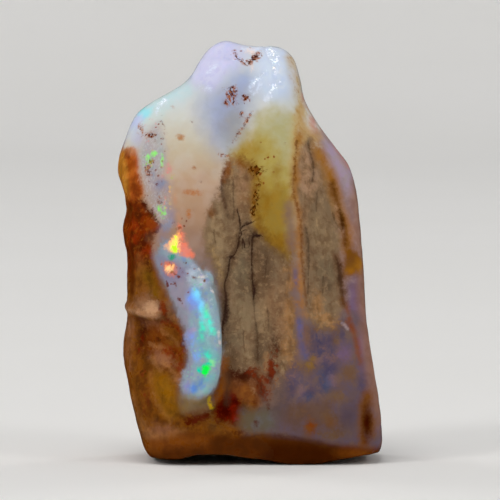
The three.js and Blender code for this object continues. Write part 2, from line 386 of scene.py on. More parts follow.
def spots(places, size, look="face"):
    """Several spots of one size."""
    return np.min([spot(across, up, size, look=look) for across, up in places], axis=0)


# %% [markdown]
# ## Coats
# A coat is one colour of the stone with the marks that it fills; a few coats are painted highlights
# and painted shade instead. The coats lie over each other from the first to the last. Each says how
# soft its edge is, and how far big waves and fine grit carry the edge about. Its two colours are
# mixed in soft clouds, and a pattern such as grain or specks may thin it out. A coat with glow shines
# a little by itself, as the fire in opal seems to.

# %% Helpers for coats
COATS = []
places = {}


def hold(name, values):
    """Keeps a number for each point on the mesh, for the material to read."""
    held = stone.data.attributes.new(name, "FLOAT", "POINT")
    held.data.foreach_set("value", values.astype(np.float32))


def coat(
    name, shades, marks=(), lines=(), half=None, on=None,
    soft=0.8, waves=0.3, grit=0.1, cover=1.0, pattern=None, glow=0.0,
):
    """Puts a coat over the others.

    It fills its own marks, its hairlines, or the place of another coat.
    """
    if lines:
        gaps, by_side = (np.array(part) for part in zip(*lines))
        nearest = gaps.argmin(axis=0)[None]
        marks = [np.take_along_axis(gaps, nearest, 0)[0]]
        hold(name + "_side", np.take_along_axis(by_side, nearest, 0)[0])
    if marks:
        places[name] = np.min(marks, axis=0)
        hold(name, places[name])
        print(f"{name}: {100 * np.mean(places[name] < (half or 0)):.1f}% of the points")
    COATS.append(
        {
            "name": name,
            "place": on or name,
            "half": half,
            "shades": shades.split(),
            "soft": soft,
            "waves": waves,
            "grit": grit,
            "cover": cover,
            "pattern": pattern,
            "glow": glow,
        }
    )


# %% [markdown]
# ## The milky opal
# The top of the stone is clear of iron, and fine cracks scatter the light in it, so it is a cold
# white that goes from lavender to cyan. Further down more iron warms it to cream and to a pinkish
# brown. That slow change down the stone is one colour ramp by height, in the material, and part of
# its darkening towards the foot is painted shade. The coats here are the knobs, the valley and the
# shoulders, all with wide soft edges.

# %% The milky shoulders
coat(
    "cyan_shoulder", "B8D6DA C2D4D6",
    [area([(-13.6, 36.4), (-11.4, 39.6), (-8.0, 41.6), (-6.2, 40.8), (-8.6, 38.9), (-11.2, 37.0),
           (-12.4, 35.0)])],
    soft=2.4, waves=0.4, grit=0.0, cover=0.8,
)
coat(
    "lavender_shoulder", "BCB8C8 B8B6CC",
    [stroke([(-14.2, 34.4), (-13.8, 35.6), (-12.9, 36.9)], 0.4), spot(-12.2, 35.4, 0.9, 1.3)],
    soft=1.6, grit=0.0, cover=0.8,
)
coat(
    "blue_shoulder", "B0B8E2",
    [stroke([(-12.8, 36.9), (-12.1, 37.7)], 0.3)],
    soft=1.2, grit=0.0, cover=0.85,
)
coat("cyan_edge", "7EDCE8", [spot(-11.5, 38.3, 0.6, 0.45)], soft=1.0, grit=0.0, cover=0.8)

# %% The pastel veil down the left
coat(
    "pastel_veil", "AAA2A2 AAA0A6",
    [area([(-11.8, 35.4), (-10.8, 36.6), (-9.8, 36.4), (-9.5, 34.6), (-9.3, 31.4), (-9.0, 28.6),
           (-8.7, 26.2), (-9.8, 26.0), (-10.9, 27.6), (-11.7, 30.2), (-12.1, 32.4), (-12.2, 34.0)])],
    soft=1.8, waves=0.4, cover=0.8,
)
coat(
    "pastel_blue", "A0AAAE",
    [stroke([(-9.9, 35.4), (-9.8, 33.4), (-9.5, 31.6)], 0.3), spot(-11.7, 33.4, 0.3, 1.0)],
    soft=1.2, cover=0.6,
)
coat("pastel_sparkle", "C6C6CA", on="pastel_veil", soft=1.2, grit=0.2, cover=0.3, pattern="crumbs")

# %% The blue valley
coat(
    "blue_valley", "A6AEC8 A2A8BE",
    [area([(-3.2, 41.4), (-0.6, 42.2), (0.6, 41.4), (0.2, 39.4), (-0.5, 36.8), (-1.5, 34.2),
           (-3.0, 33.6), (-4.5, 35.4), (-5.4, 38.2), (-4.6, 40.2)])],
    soft=4.0, waves=0.5, grit=0.0, cover=0.95,
)
coat("valley_tip", "BAC0C8", [spot(-2.6, 34.6, 0.7, 0.9)], soft=1.8, grit=0.0, cover=0.6)
coat("valley_top", "A6B4D8", [spot(-0.9, 41.8, 1.0, 0.6)], soft=1.4, grit=0.0, cover=0.6)
coat(
    "valley_low", "A5A19B A09E9E",
    [spot(-1.6, 36.2, 1.3, 2.0)],
    soft=2.4, waves=0.5, grit=0.0, cover=0.75,
)

# %% The two knobs
coat(
    "lavender_knob", "C4C5E4 CBCBE4",
    [area([(-6.5, 42.2), (-6.0, 44.4), (-4.6, 46.2), (-2.4, 47.2), (-1.0, 46.2), (-0.9, 44.4),
           (-1.3, 43.1), (-2.6, 42.4), (-3.3, 41.3), (-4.0, 40.9), (-5.0, 40.9), (-6.0, 41.3)])],
    soft=2.0, grit=0.05, cover=0.9,
)
coat("knob_mottle", "D6CEEA B4B4DC", on="lavender_knob", soft=2.0, cover=0.4, pattern="mottle")
coat(
    "white_knob", "C2CEE2 C8D3E2",
    [area([(0.8, 42.6), (1.4, 46.6), (4.2, 46.4), (5.0, 44.4), (5.2, 42.0), (4.8, 40.4), (3.6, 39.6),
           (1.8, 39.8), (0.8, 41.0)])],
    soft=2.4, waves=0.4, grit=0.0, cover=0.9,
)

# %% Wisps and glints
# Pale wisps in the milky opal, with painted highlights among them: along the left knob's lower edge, on
# the right knob's crest and on the left shoulder.
coat(
    "wisps_and_highlights", "DCE4F2",
    [stroke([(-5.4, 40.9), (-4.4, 40.8)], 0.06), stroke([(0.2, 41.2), (1.0, 42.1), (1.9, 42.6)], 0.14),
     stroke([(0.5, 40.2), (1.2, 41.2)], 0.12), stroke([(1.8, 39.4), (2.6, 40.8)], 0.08),
     stroke([(2.0, 44.8), (2.7, 43.6), (2.9, 42.4)], 0.14),
     stroke([(-0.8, 45.2), (0.2, 45.0), (1.0, 45.2)], 0.12), stroke([(0.1, 40.6), (0.4, 41.6)], 0.1),
     stroke([(-10.4, 38.2), (-9.2, 39.5)], 0.12), stroke([(-4.6, 42.4), (-3.6, 43.2)], 0.06)],
    soft=0.5, waves=0.2, grit=0.3, cover=0.65,
)
coat(
    "chip_glints", "F6FAFF",
    [area([(1.8, 45.2), (2.6, 45.2), (3.1, 44.2), (3.1, 42.8), (2.6, 42.8), (2.4, 43.8)]),
     spot(2.75, 41.1, 0.2, 0.3), spot(3.4, 41.5, 0.16, 0.16), spot(2.4, 40.8, 0.1, 0.3),
     stroke([(0.4, 41.2), (1.0, 42.2), (1.7, 42.6)], 0.06),
     stroke([(-10.2, 38.5), (-9.3, 39.5)], 0.05)],
    soft=0.4, waves=0.15, grit=0.25, cover=0.9, pattern="crumbs", glow=0.15,
)
# Painted highlights, peach coloured, on the saddle between the knobs.
coat(
    "saddle_peach_highlights", "EAD4C8",
    [stroke([(-0.3, 44.9), (0.6, 44.8)], 0.1), stroke([(0.1, 43.6), (0.3, 42.9)], 0.1)],
    soft=0.6, waves=0.2, grit=0.3, cover=0.7,
)

# %% [markdown]
# ## The honey opal
# Below the right knob the opal is stained honey yellow by iron. The stain is darkest in a band along
# the wood, where the iron came from. A greenish cream joins it to the milk.

# %% Honey
HONEY = [
    (-1.9, 33.3), (-0.8, 35.0), (0.4, 36.4), (2.2, 37.6), (4.4, 37.8), (5.3, 36.0), (5.1, 30.0),
    (4.9, 27.4), (4.6, 24.4), (4.6, 22.4), (3.4, 22.2), (2.0, 23.0), (0.9, 24.6), (0.2, 26.2),
    (-0.2, 28.0), (-0.4, 30.5), (-0.5, 32.0), (-1.4, 32.3),
]
coat("honey", "AC984E B1A15E", [area(HONEY)], soft=3.0, waves=0.5, grit=0.0)
coat(
    "honey_top", "B4AF86 B6B496",
    [area([(0.6, 36.4), (2.2, 38.4), (4.6, 38.4), (5.3, 35.6), (5.0, 33.0), (4.2, 32.4), (3.4, 34.0),
           (2.0, 35.6)])],
    soft=2.4, waves=0.6, grit=0.0, cover=0.8,
)
coat(
    "honey_deep", "A07E2C 967A30",
    [area([(-0.4, 33.4), (0.6, 34.2), (1.2, 32.4), (2.0, 30.0), (4.6, 29.4), (4.8, 27.0), (4.6, 22.4),
           (3.4, 22.2), (1.8, 23.2), (0.5, 25.0), (0.0, 28.0), (-0.2, 31.4)])],
    soft=3.0, waves=0.7, cover=0.9,
)
coat(
    "honey_gold", "A4822A A88A3C",
    [area([(-1.9, 33.0), (-0.9, 34.3), (0.3, 35.0), (0.5, 33.6), (-0.4, 32.7)])],
    soft=1.6, grit=0.15, cover=0.85,
)
coat(
    "honey_edge", "8A5C06 90660E",
    [spot(3.1, 23.8, 1.4, 0.9), stroke([(0.5, 31.2), (0.35, 29.0), (0.6, 27.0), (1.3, 25.2)], 0.3),
     stroke([(3.1, 31.8), (2.9, 30.2)], 0.14), stroke([(1.6, 29.6), (2.0, 27.4)], 0.2)],
    soft=2.2, waves=0.4, grit=0.2, cover=0.75,
)

# %% The right column's edge
coat(
    "column_edge", "BCA066 B89A58",
    [stroke([(4.5, 44.2), (5.0, 42.6), (5.4, 40.8), (5.4, 38.0), (5.0, 35.4), (4.8, 32.6)], 0.3)],
    soft=1.8, grit=0.0, cover=0.9,
)
coat(
    "column_spots", "925F30 A27038",
    [stroke([(4.5, 44.1), (4.7, 43.4)], 0.1), stroke([(4.95, 42.6), (5.2, 41.4)], 0.14),
     stroke([(5.35, 40.6), (5.4, 39.4)], 0.12), stroke([(5.4, 38.2), (5.3, 35.4)], 0.25)],
    soft=0.9, grit=0.4, cover=0.75, pattern="mottle",
)

# %% [markdown]
# ## The right side
# Past the honey the stone turns away from the light. A lilac haze lies over brown there: the haze is
# blue light that fine silica scatters, as in the sky, and the brown is what it lies on. The rim
# is pink at the shoulder, where light comes through it.

# %% Lilac and pink above
RIM = (-BEYOND, 8)  # mm through the stone: these coats go on round the rim
coat(
    "lilac_side", "9C847F 8E7472",
    [area([(7.2, 36.2), (9.4, 35.6), (12.4, 34.6), (16, 29), (16, 19.5), (10.2, 16.8), (10.0, 21.0),
           (10.2, 26.0), (9.4, 29.4), (8.4, 32.2), (7.4, 34.2)], limits=RIM)],
    soft=1.6, waves=0.4,
)
coat(
    "lilac_sheen", "A594AE A69AA2",
    [area([(7.7, 35.4), (9.2, 34.8), (10.4, 33.0), (11.4, 31.4), (11.4, 29.6), (10.6, 29.4),
           (9.6, 31.4), (8.6, 33.4)])],
    soft=1.2, waves=0.4, cover=0.75,
)
coat(
    "tan_gap", "BC9C6A B6925C",
    [area([(5.5, 38.8), (6.1, 38.4), (6.8, 36.6), (7.8, 35.2), (6.8, 34.4), (5.6, 34.6), (5.2, 36.6)])],
    soft=1.4, waves=0.4, grit=0.15, cover=0.85,
)
coat(
    "pink_shoulder", "C48A78 B8786A",
    [stroke([(6.3, 40.0), (7.3, 38.4), (8.3, 36.9), (9.4, 35.3), (10.3, 33.7), (11.0, 32.6)], 0.45,
            limits=RIM), spot(7.0, 37.2, 0.4, 0.8)],
    soft=1.0, waves=0.25, cover=0.9,
)

# %% Lilac and blue below
coat(
    "lilac_low", "655664 6A5658",
    [area([(3.0, 10.0), (4.4, 10.0), (5.2, 11.5), (5.6, 15.0), (7.0, 14.8), (8.0, 14.0), (9.6, 14.6),
           (11.0, 16.8), (11.2, 19.4), (12.2, 20.6), (16, 19), (16, 8.0), (16, 1.0), (12.0, 1.2),
           (6.0, 2.2), (2.0, 2.7), (1.2, 4.6), (2.6, 6.4)], limits=RIM)],
    soft=1.8, waves=0.6, grit=0.3,
)
coat("lilac_brown", "745C52 7A6250", on="lilac_low", soft=1.6, cover=0.6, pattern="other_clouds")
coat(
    "blue_zones", "4C4562 4A4460",
    [area([(6.9, 14.0), (8.4, 13.6), (9.6, 12.6), (9.4, 10.0), (8.8, 7.8), (7.8, 7.6), (7.6, 9.6),
           (7.0, 11.6)]), spot(4.5, 8.6, 0.5, 1.0), spot(6.5, 7.0, 0.5, 0.5), spot(3.6, 6.2, 0.5, 0.9),
     spot(10.2, 13.8, 0.4, 0.9), spot(12.4, 8.6, 0.4, 1.0)],
    soft=1.6, waves=0.7, grit=0.5, cover=0.85,
)
coat(
    "violet_edge", "7C6282 745C74",
    [spot(11.5, 18.2, 0.5, 1.6), spot(10.4, 11.6, 0.8, 1.0), spot(12.3, 12.8, 0.2, 1.4)],
    soft=1.4, waves=0.4, grit=0.2, cover=0.75,
)
coat(
    "tan_speckle", "8A7060 86685A",
    [spot(7.8, 12.4, 2.0, 1.8), spot(4.6, 8.4, 1.2, 2.0), spot(6.4, 7.4, 1.8, 1.4)],
    soft=2.2, waves=0.5, grit=0.4, cover=0.55, pattern="mottle",
)
coat(
    "blue_speckle", "3E3C62", on="tan_speckle", soft=2.2, waves=0.5, grit=0.4, cover=0.5,
    pattern="blotches",
)

# %% The stripe between the splinters
coat(
    "lilac_stripe", "85695E 7A6064",
    [area([(4.0, 27.8), (4.9, 28.0), (5.2, 22.0), (5.2, 17.0), (5.8, 14.6), (6.1, 11.4), (5.6, 10.6),
           (5.0, 13.0), (4.7, 17.0), (4.5, 21.0), (4.2, 24.0)])],
    soft=1.4, cover=0.75,
)
coat(
    "blue_stripe", "565C9A 4C5886",
    [stroke([(5.1, 20.6), (5.1, 19.4)], 0.16), stroke([(5.5, 15.2), (5.6, 14.6), (5.7, 13.6)], 0.38),
     stroke([(5.8, 12.8), (6.0, 11.8), (6.1, 11.2)], 0.28)],
    soft=0.9, waves=0.25, grit=0.3, cover=0.85,
)
coat(
    "stripe_edge", "6A2C20",
    [stroke([(6.05, 14.6), (6.15, 13.6), (6.3, 12.6)], 0.06)],
    soft=0.5, waves=0.2, grit=0.2, cover=0.6,
)

# %% Brown clouds over the lilac
coat(
    "warm_rim", "98705A 8C6450",
    [area([(11.6, 31), (11.3, 28.0), (11.6, 23.0), (12.2, 14.0), (12.8, 9.0), (13.8, 4.4), (16, 2),
           (16, 31)], limits=RIM)],
    soft=1.4, waves=0.2, grit=0.0, cover=0.7,
)
coat(
    "tan_blotches", "806030 785630",
    [spot(6.4, 10.4, 0.8, 0.6), spot(9.5, 12.9, 0.3, 0.4), spot(8.4, 14.6, 1.4, 0.5),
     spot(5.2, 5.1, 0.8, 0.6), spot(8.8, 4.4, 0.6, 0.8), spot(8.9, 2.8, 0.8, 0.4),
     spot(9.4, 6.8, 0.9, 0.6), spot(11.0, 9.6, 0.8, 1.2), stroke([(6.4, 14.4), (6.6, 12.6)], 0.1)],
    soft=1.4, waves=0.5, grit=0.4, cover=0.65,
)
coat(
    "low_brown", "6E503A 64483A",
    [area([(3.6, 5.4), (5.4, 6.2), (8.0, 6.4), (9.4, 5.6), (9.8, 3.2), (8.0, 2.9), (5.6, 3.2),
           (3.2, 3.6)])],
    soft=1.8, waves=0.7, grit=0.4, cover=0.6,
)
coat(
    "olive_blob", "8E6A2C",
    [spot(6.4, 10.45, 0.6, 0.5), spot(6.9, 11.2, 0.3, 0.3)],
    soft=0.9, waves=0.4, grit=0.35, cover=0.85,
)
coat(
    "rosy_blobs", "86686A 806254",
    [spot(5.6, 7.6, 0.3, 0.4), spot(4.8, 9.3, 0.4, 0.3), spot(9.1, 11.1, 0.5, 0.3),
     spot(8.2, 12.2, 0.3, 0.3), spot(6.4, 12.6, 0.3, 0.8), spot(7.6, 10.4, 0.2, 0.4),
     spot(9.2, 8.8, 0.5, 0.4)],
    soft=0.9, waves=0.4, grit=0.4, cover=0.7,
)
coat(
    "teal_blobs", "465474",
    [spot(8.4, 8.3, 0.3, 0.6), spot(6.6, 6.9, 0.4, 0.25), spot(6.0, 11.2, 0.2, 0.5),
     spot(7.9, 9.6, 0.2, 0.4)],
    soft=1.0, grit=0.4, cover=0.6,
)
coat("dim_lilac", "54444E", [spot(10.9, 4.8, 1.1, 1.3)], soft=1.6, waves=0.4, cover=0.7)

# %% Orange and brown stains
coat(
    "orange_spots", "7A4204 824A08",
    [spot(6.65, 3.5, 0.65, 0.85), spot(7.5, 26.2, 0.16)],
    soft=0.9, waves=0.2, grit=0.2, cover=0.85,
)
coat(
    "orange_dots", "8E420A",
    [spot(6.7, 3.8, 0.3, 0.25), spot(7.55, 26.2, 0.12), spot(8.75, 15.1, 0.2, 0.14)],
    soft=0.5, waves=0.2, grit=0.2, cover=0.8,
)
coat("faint_orange", "7A4C20", [spot(9.0, 4.0, 0.6, 0.5)], soft=1.2, waves=0.2, grit=0.2, cover=0.5)
coat(
    "brown_halo", "7A4608 7E4C0E",
    [stroke([(12.9, 6.9), (12.6, 5.4), (12.5, 3.6), (12.6, 2.0)], 0.6), spot(12.9, 3.9, 0.9, 2.0)],
    soft=1.2, waves=0.25, cover=0.9,
)
coat("brown_streak", "380C00 401002", [spot(12.9, 4.0, 0.5, 1.8)], soft=0.9, waves=0.1)
coat(
    "orange_streak", "84421C 8A4A22",
    [stroke([(11.2, 14.8), (11.6, 13.4), (12.0, 11.6), (12.2, 10.6)], 0.22), spot(11.0, 15.4, 0.3, 0.5),
     stroke([(10.6, 17.0), (10.9, 16.0)], 0.14)],
    waves=0.18, grit=0.12, cover=0.85,
)
coat(
    "pale_streak", "C4B2B4",
    [stroke([(10.2, 15.0), (10.5, 14.8), (10.8, 14.3)], 0.05)],
    soft=0.5, waves=0.05, grit=0.05, cover=0.85,
)

# %% [markdown]
# ## The wood
# Two splinters of wood stand upright in the face. Silica has soaked them, so they are stone too, but
# dull, grey-brown and grained from top to bottom. Their grain is drawn twice as coarse as wood's
# finest lines, which would be thinner than a pixel.

# %% The splinters and their shade
WOOD_LEFT = [
    (-1.9, 33.0), (-2.6, 31.8), (-3.1, 30.2), (-3.1, 28.8), (-3.9, 28.2), (-4.6, 27.0), (-4.9, 25.2),
    (-4.6, 23.2), (-4.0, 21.8), (-3.5, 20.2), (-2.9, 18.6), (-2.8, 16.0), (-2.9, 13.5), (-2.7, 11.6),
    (-2.7, 9.0), (-2.8, 7.0), (-1.4, 6.6), (0.6, 6.2), (2.6, 6.0), (3.3, 8.4), (4.3, 10.2), (4.9, 12.0),
    (4.9, 15.0), (4.6, 18.0), (4.3, 21.0), (3.6, 22.6), (2.0, 23.6), (1.2, 24.5), (0.4, 25.5),
    (0.2, 26.4), (0.0, 28.0), (0.0, 30.0), (-0.1, 31.6), (-0.8, 32.2), (-1.4, 32.6),
]
WOOD_RIGHT = [
    (6.6, 35.2), (5.6, 33.6), (5.1, 32.0), (4.9, 30.2), (5.1, 28.8), (5.6, 27.4), (5.6, 24.0),
    (5.7, 21.0), (5.9, 18.0), (6.3, 16.2), (6.9, 15.0), (8.0, 14.6), (9.4, 15.2), (10.0, 16.4),
    (10.2, 18.0), (10.1, 20.0), (9.9, 22.0), (10.2, 24.0), (9.9, 26.0), (9.4, 28.0), (9.0, 30.0),
    (8.4, 32.0), (7.4, 34.0),
]
coat(
    "wood_shade", "6E4C2C 76542F",
    [area(WOOD_LEFT), area(WOOD_RIGHT)],
    soft=1.6, grit=0.15, cover=0.75,
)
coat("wood", "806A50 866C50", on="wood_shade", soft=0.9, grit=0.3, cover=0.9)

# %% Warm, rosy and pale wood
coat(
    "wood_warm", "8F6A49 916C4C",
    [area([(-1.5, 32.2), (-0.6, 32.4), (0.1, 31.0), (0.1, 28.0), (-0.6, 27.2), (-1.3, 28.4)]),
     spot(3.7, 15.4, 1.0, 4.4), spot(6.0, 26.6, 0.5, 1.6), spot(6.0, 20.0, 0.3, 3.6),
     spot(2.4, 17.4, 0.8, 1.6)],
    soft=1.8, waves=0.5, grit=0.3, cover=0.8,
)
coat(
    "wood_rosy", "B48E70 AC8460",
    [area([(5.6, 33.4), (6.5, 34.6), (7.2, 33.6), (7.7, 31.6), (7.2, 29.6), (6.2, 28.8), (5.6, 29.6)]),
     spot(-0.6, 30.6, 0.5, 1.0)],
    soft=2.0, waves=0.5, grit=0.3, cover=0.75,
)
coat(
    "wood_pale", "98805F 927858",
    [area([(-4.1, 27.0), (-3.3, 27.6), (-2.6, 25.8), (-2.3, 23.4), (-3.1, 20.6), (-3.9, 22.0),
           (-4.4, 23.6), (-4.5, 25.6)]), spot(-0.8, 16.2, 0.7, 2.2), spot(-0.2, 11.4, 0.7, 0.7),
     spot(7.6, 25.4, 0.8, 1.6), spot(8.5, 23.8, 0.8, 1.2), spot(-2.1, 29.6, 0.3, 1.2),
     spot(1.4, 15.6, 0.4, 1.6)],
    soft=1.8, waves=0.5, grit=0.35, cover=0.7,
)
coat(
    "wood_tan", "AA7C4E A4733F",
    [spot(7.9, 15.6, 1.2, 0.6), spot(7.6, 17.0, 0.4, 1.2), spot(8.9, 15.2, 0.4, 0.4),
     spot(4.0, 11.8, 0.6, 1.4), spot(4.4, 15.6, 0.3, 2.4)],
    soft=1.2, waves=0.5, grit=0.4, cover=0.75,
)

# %% Dark wood
coat(
    "wood_grey", "665A44 625645",
    [spot(-0.7, 20.0, 0.9, 3.4), spot(8.6, 20.4, 0.8, 1.6), spot(-1.6, 13.4, 0.6, 1.2)],
    soft=1.8, waves=0.5, grit=0.3, cover=0.7,
)
coat(
    "wood_brown", "6A4A2A 5E4226",
    [spot(-0.4, 29.4, 0.5, 1.8), spot(1.3, 20.4, 1.0, 1.6), spot(-2.6, 29.6, 0.3, 1.2),
     spot(-1.5, 10.6, 0.8, 0.9), spot(3.0, 11.8, 0.3, 0.8),
     stroke([(-1.4, 27.4), (-1.2, 25.4), (-1.5, 23.0)], 0.25), spot(0.8, 22.6, 0.4, 0.8)],
    soft=1.8, waves=0.5, grit=0.3, cover=0.6,
)
coat(
    "wood_dark", "4C3626 54402F",
    [spot(1.7, 21.2, 0.9, 2.4), spot(1.4, 11.8, 0.7, 1.4), spot(-2.6, 28.0, 0.2, 1.0),
     spot(-0.2, 24.2, 0.5, 0.8), spot(-1.6, 10.8, 0.5, 0.8)],
    soft=1.8, waves=0.4, grit=0.25, cover=0.65,
)

# %% Tips, fringes and grain
coat(
    "wood_tip", "7C420A 84480E",
    [area([(-2.0, 33.1), (-1.95, 31.8), (-2.4, 31.0), (-3.1, 30.5), (-3.0, 31.6)]),
     spot(-1.2, 32.7, 0.4, 0.3), stroke([(-1.4, 32.6), (-0.7, 32.4)], 0.2), spot(-4.2, 27.2, 0.3, 0.4)],
    soft=0.9, waves=0.2, grit=0.2, cover=0.9,
)
coat(
    "wood_fringe", "84601C 7A5420",
    [stroke([(-0.6, 32.9), (0.2, 31.8), (0.5, 30.0), (0.5, 28.0), (0.9, 26.2), (1.8, 24.8), (3.0, 23.4),
             (4.2, 22.2)], 0.25)],
    soft=1.8, waves=0.5, grit=0.5, cover=0.8,
)
coat(
    "gold_crest", "AE8E5E",
    [stroke([(-3.9, 23.2), (-3.6, 21.8), (-3.1, 20.4), (-2.9, 19.2)], 0.2), spot(-2.7, 10.8, 0.1, 0.35),
     stroke([(-1.8, 33.2), (-1.72, 31.8)], 0.07)],
    soft=1.0, grit=0.5, cover=0.7,
)
coat("wood_mottle", "4A3424 543C26", on="wood_shade", cover=0.5, pattern="blotches")
coat("wood_light_mottle", "B0926C", on="wood_shade", cover=0.3, pattern="fine_clouds")
coat("wood_grain", "4A3423", on="wood_shade", soft=0.6, cover=0.2, pattern="grain")

# %% [markdown]
# Iron from outside the wood has stained its edges brown, most of all down the right splinter.

# %% Stained edges of the wood
coat(
    "stained_edge", "966014 9C6A2A",
    [stroke([(7.4, 34.3), (8.0, 33.0), (8.8, 31.5), (9.35, 30.0), (9.65, 28.5), (10.1, 27.0),
             (10.5, 26.0), (10.75, 24.5), (10.7, 23.0)], 0.5),
     stroke([(5.5, 35.8), (5.2, 33.6), (5.05, 31.4), (5.0, 29.0)], 0.3)],
    soft=1.3, waves=0.25, grit=0.12, cover=0.95,
)
coat(
    "gold_bulge", "744604 7C4E08",
    [area([(10.2, 23.6), (11.2, 23.6), (12.3, 22.2), (12.2, 21.0), (11.4, 20.3), (10.5, 20.0),
           (10.2, 21.6)])],
    soft=1.3, waves=0.35, grit=0.15, cover=0.95,
)
coat(
    "gold_bulge_edge", "A46E18",
    [spot(12.1, 21.4, 0.3, 0.5), spot(11.0, 20.7, 0.4, 0.25)],
    soft=0.9, grit=0.15, cover=0.7,
)
coat(
    "stained_band", "A87438 98683A",
    [stroke([(5.2, 28.6), (5.4, 26.6), (5.5, 24.0), (5.6, 20.0), (5.8, 17.0)], 0.22)],
    soft=0.9, waves=0.25, grit=0.25, cover=0.8,
)
coat(
    "stained_line", "6A4628",
    [stroke([(9.6, 22.4), (9.9, 20.6), (10.2, 18.6), (10.4, 17.2)], 0.3)],
    soft=1.2, waves=0.2, grit=0.15, cover=0.7,
)
coat(
    "stained_core", "502806 5A3008",
    [stroke([(9.1, 30.3), (9.4, 29.2), (9.65, 28.2), (9.95, 27.0), (10.2, 26.2), (10.45, 24.8),
             (10.55, 23.6)], 0.22),
     stroke([(9.5, 22.4), (9.85, 21.6), (10.0, 20.0), (10.2, 18.4), (10.35, 17.2)], 0.14)],
    waves=0.2, grit=0.12, cover=0.85,
)
coat(
    "border_line", "56280A 683810",
    [stroke([(5.2, 34.9), (5.0, 32.5), (4.87, 30.3), (4.87, 29.2), (5.3, 27.7), (5.7, 25.2),
             (5.75, 22.4), (6.0, 19.6), (6.3, 16.9)], 0.06)],
    soft=0.45, waves=0.15, grit=0.2, cover=0.75,
)
coat(
    "stained_heart", "341602",
    [stroke([(9.9, 27.4), (10.15, 26.3), (10.3, 25.4)], 0.12),
     stroke([(9.95, 21.4), (10.1, 19.6)], 0.04)],
    soft=0.7, waves=0.15, grit=0.12, cover=0.8,
)

# %% [markdown]
# ## The rusty left column
# This is iron-rich opal, amber where it is clear and rust red where it is clogged. It folds over a
# small pocket half way down. Below the fold the colours run down to the foot in long lines, as the
# silica gel once flowed.

# %% Ochre and the amber lump
OCHRE = [
    (-17, 32.4), (-15.4, 33.6), (-13.6, 34.2), (-12.8, 33.4), (-12.4, 31.0), (-12.1, 28.8),
    (-11.2, 27.8), (-10.4, 26.4), (-9.9, 25.6), (-10.5, 24.6), (-10.6, 22.6), (-10.1, 21.0),
    (-9.5, 19.4), (-8.8, 17.8), (-8.4, 16.2), (-7.5, 14.8), (-6.8, 13.0), (-6.9, 10.4), (-7.7, 8.4),
    (-7.9, 6.8), (-7.2, 5.4), (-5.4, 4.7), (-3.6, 4.9), (-1.4, 3.4), (1.6, 2.8), (1.0, -1.5),
    (-17, -1.5),
]
coat("ochre", "7A460E 6C3C0A", [area(OCHRE, limits=RIM)], soft=1.0, grit=0.12)
coat(
    "amber_lump", "BC7E2E B07220",
    [area([(-17, 32.6), (-14.6, 33.8), (-13.4, 34.0), (-13.2, 31.4), (-13.8, 29.4), (-17, 28.6)],
          limits=(-BEYOND, 1.6)),
     area([(-4.0, 28.2), (-3.6, 31.4), (-1.4, 33.4), (1.4, 34.0), (3.8, 32.4), (3.2, 30.4), (4.2, 28.8),
           (1.6, 27.2)], "left")],
    soft=1.2, grit=0.05,
)
coat(
    "orange_smear", "B65E1C A44A0C",
    [area([(-13.6, 34.0), (-12.6, 34.2), (-12.2, 33.0), (-12.1, 31.0), (-11.9, 29.4), (-12.4, 28.0),
           (-13.3, 28.2), (-13.4, 31.0)])],
    waves=0.2, cover=0.9,
)
coat("lump_top", "C28E68", [spot(-12.9, 34.0, 0.6, 0.3)], soft=0.9, cover=0.7)
coat(
    "smear_dark", "742A08",
    [spot(-12.5, 29.6, 0.4, 1.2), spot(-13.6, 33.6, 0.12, 0.3), spot(-13.0, 28.4, 0.5, 0.6)],
    soft=0.9, grit=0.3, cover=0.7,
)

# %% Rust
coat(
    "rust_ground", "762400 6A1C00",
    [area([(-13.7, 28.6), (-12.6, 28.4), (-11.7, 28.4), (-10.9, 27.0), (-10.0, 25.6), (-10.6, 24.4),
           (-10.7, 22.6), (-11.2, 22.0), (-12.4, 21.0), (-15.6, 19.0), (-16.6, 24.6), (-15.6, 28.4)],
          limits=RIM)],
    soft=0.9, waves=0.4, grit=0.35, cover=0.9,
)
coat("rust_mottle", "3E0C00", on="rust_ground", soft=1.0, cover=0.6, pattern="blotches")
coat("rust_light", "96480E", on="rust_ground", soft=1.0, cover=0.45, pattern="fine_clouds")
coat(
    "rust_dark", "420E00 4C1200",
    [stroke([(-11.8, 28.2), (-11.3, 27.4), (-10.9, 26.8)], 0.2),
     stroke([(-10.6, 26.6), (-9.9, 25.7), (-10.4, 25.1)], 0.16),
     stroke([(-13.2, 23.0), (-13.1, 20.6), (-13.0, 18.4)], 0.3), spot(-12.0, 23.4, 0.8, 0.5),
     stroke([(-11.3, 22.1), (-11.1, 21.0)], 0.1), stroke([(-13.2, 27.6), (-13.2, 26.0)], 0.3),
     spot(-11.3, 24.4, 0.5, 0.3)],
    soft=0.7, grit=0.35, cover=0.8,
)
coat(
    "rust_bright", "8E2802",
    [spot(-11.3, 23.0, 0.5, 0.5), spot(-12.6, 25.6, 0.4, 0.5), spot(-12.9, 24.4, 0.3, 0.4)],
    waves=0.4, grit=0.4, cover=0.75,
)
coat(
    "wedge", "8C3A06 903C08",
    [area([(-11.2, 26.6), (-9.8, 25.7), (-10.7, 25.1), (-11.5, 25.8)])],
    soft=0.4, grit=0.15, cover=0.85,
)
coat("pink_rust", "80543C", [spot(-10.9, 24.3, 0.5, 0.6)], soft=0.9, grit=0.2, cover=0.6)

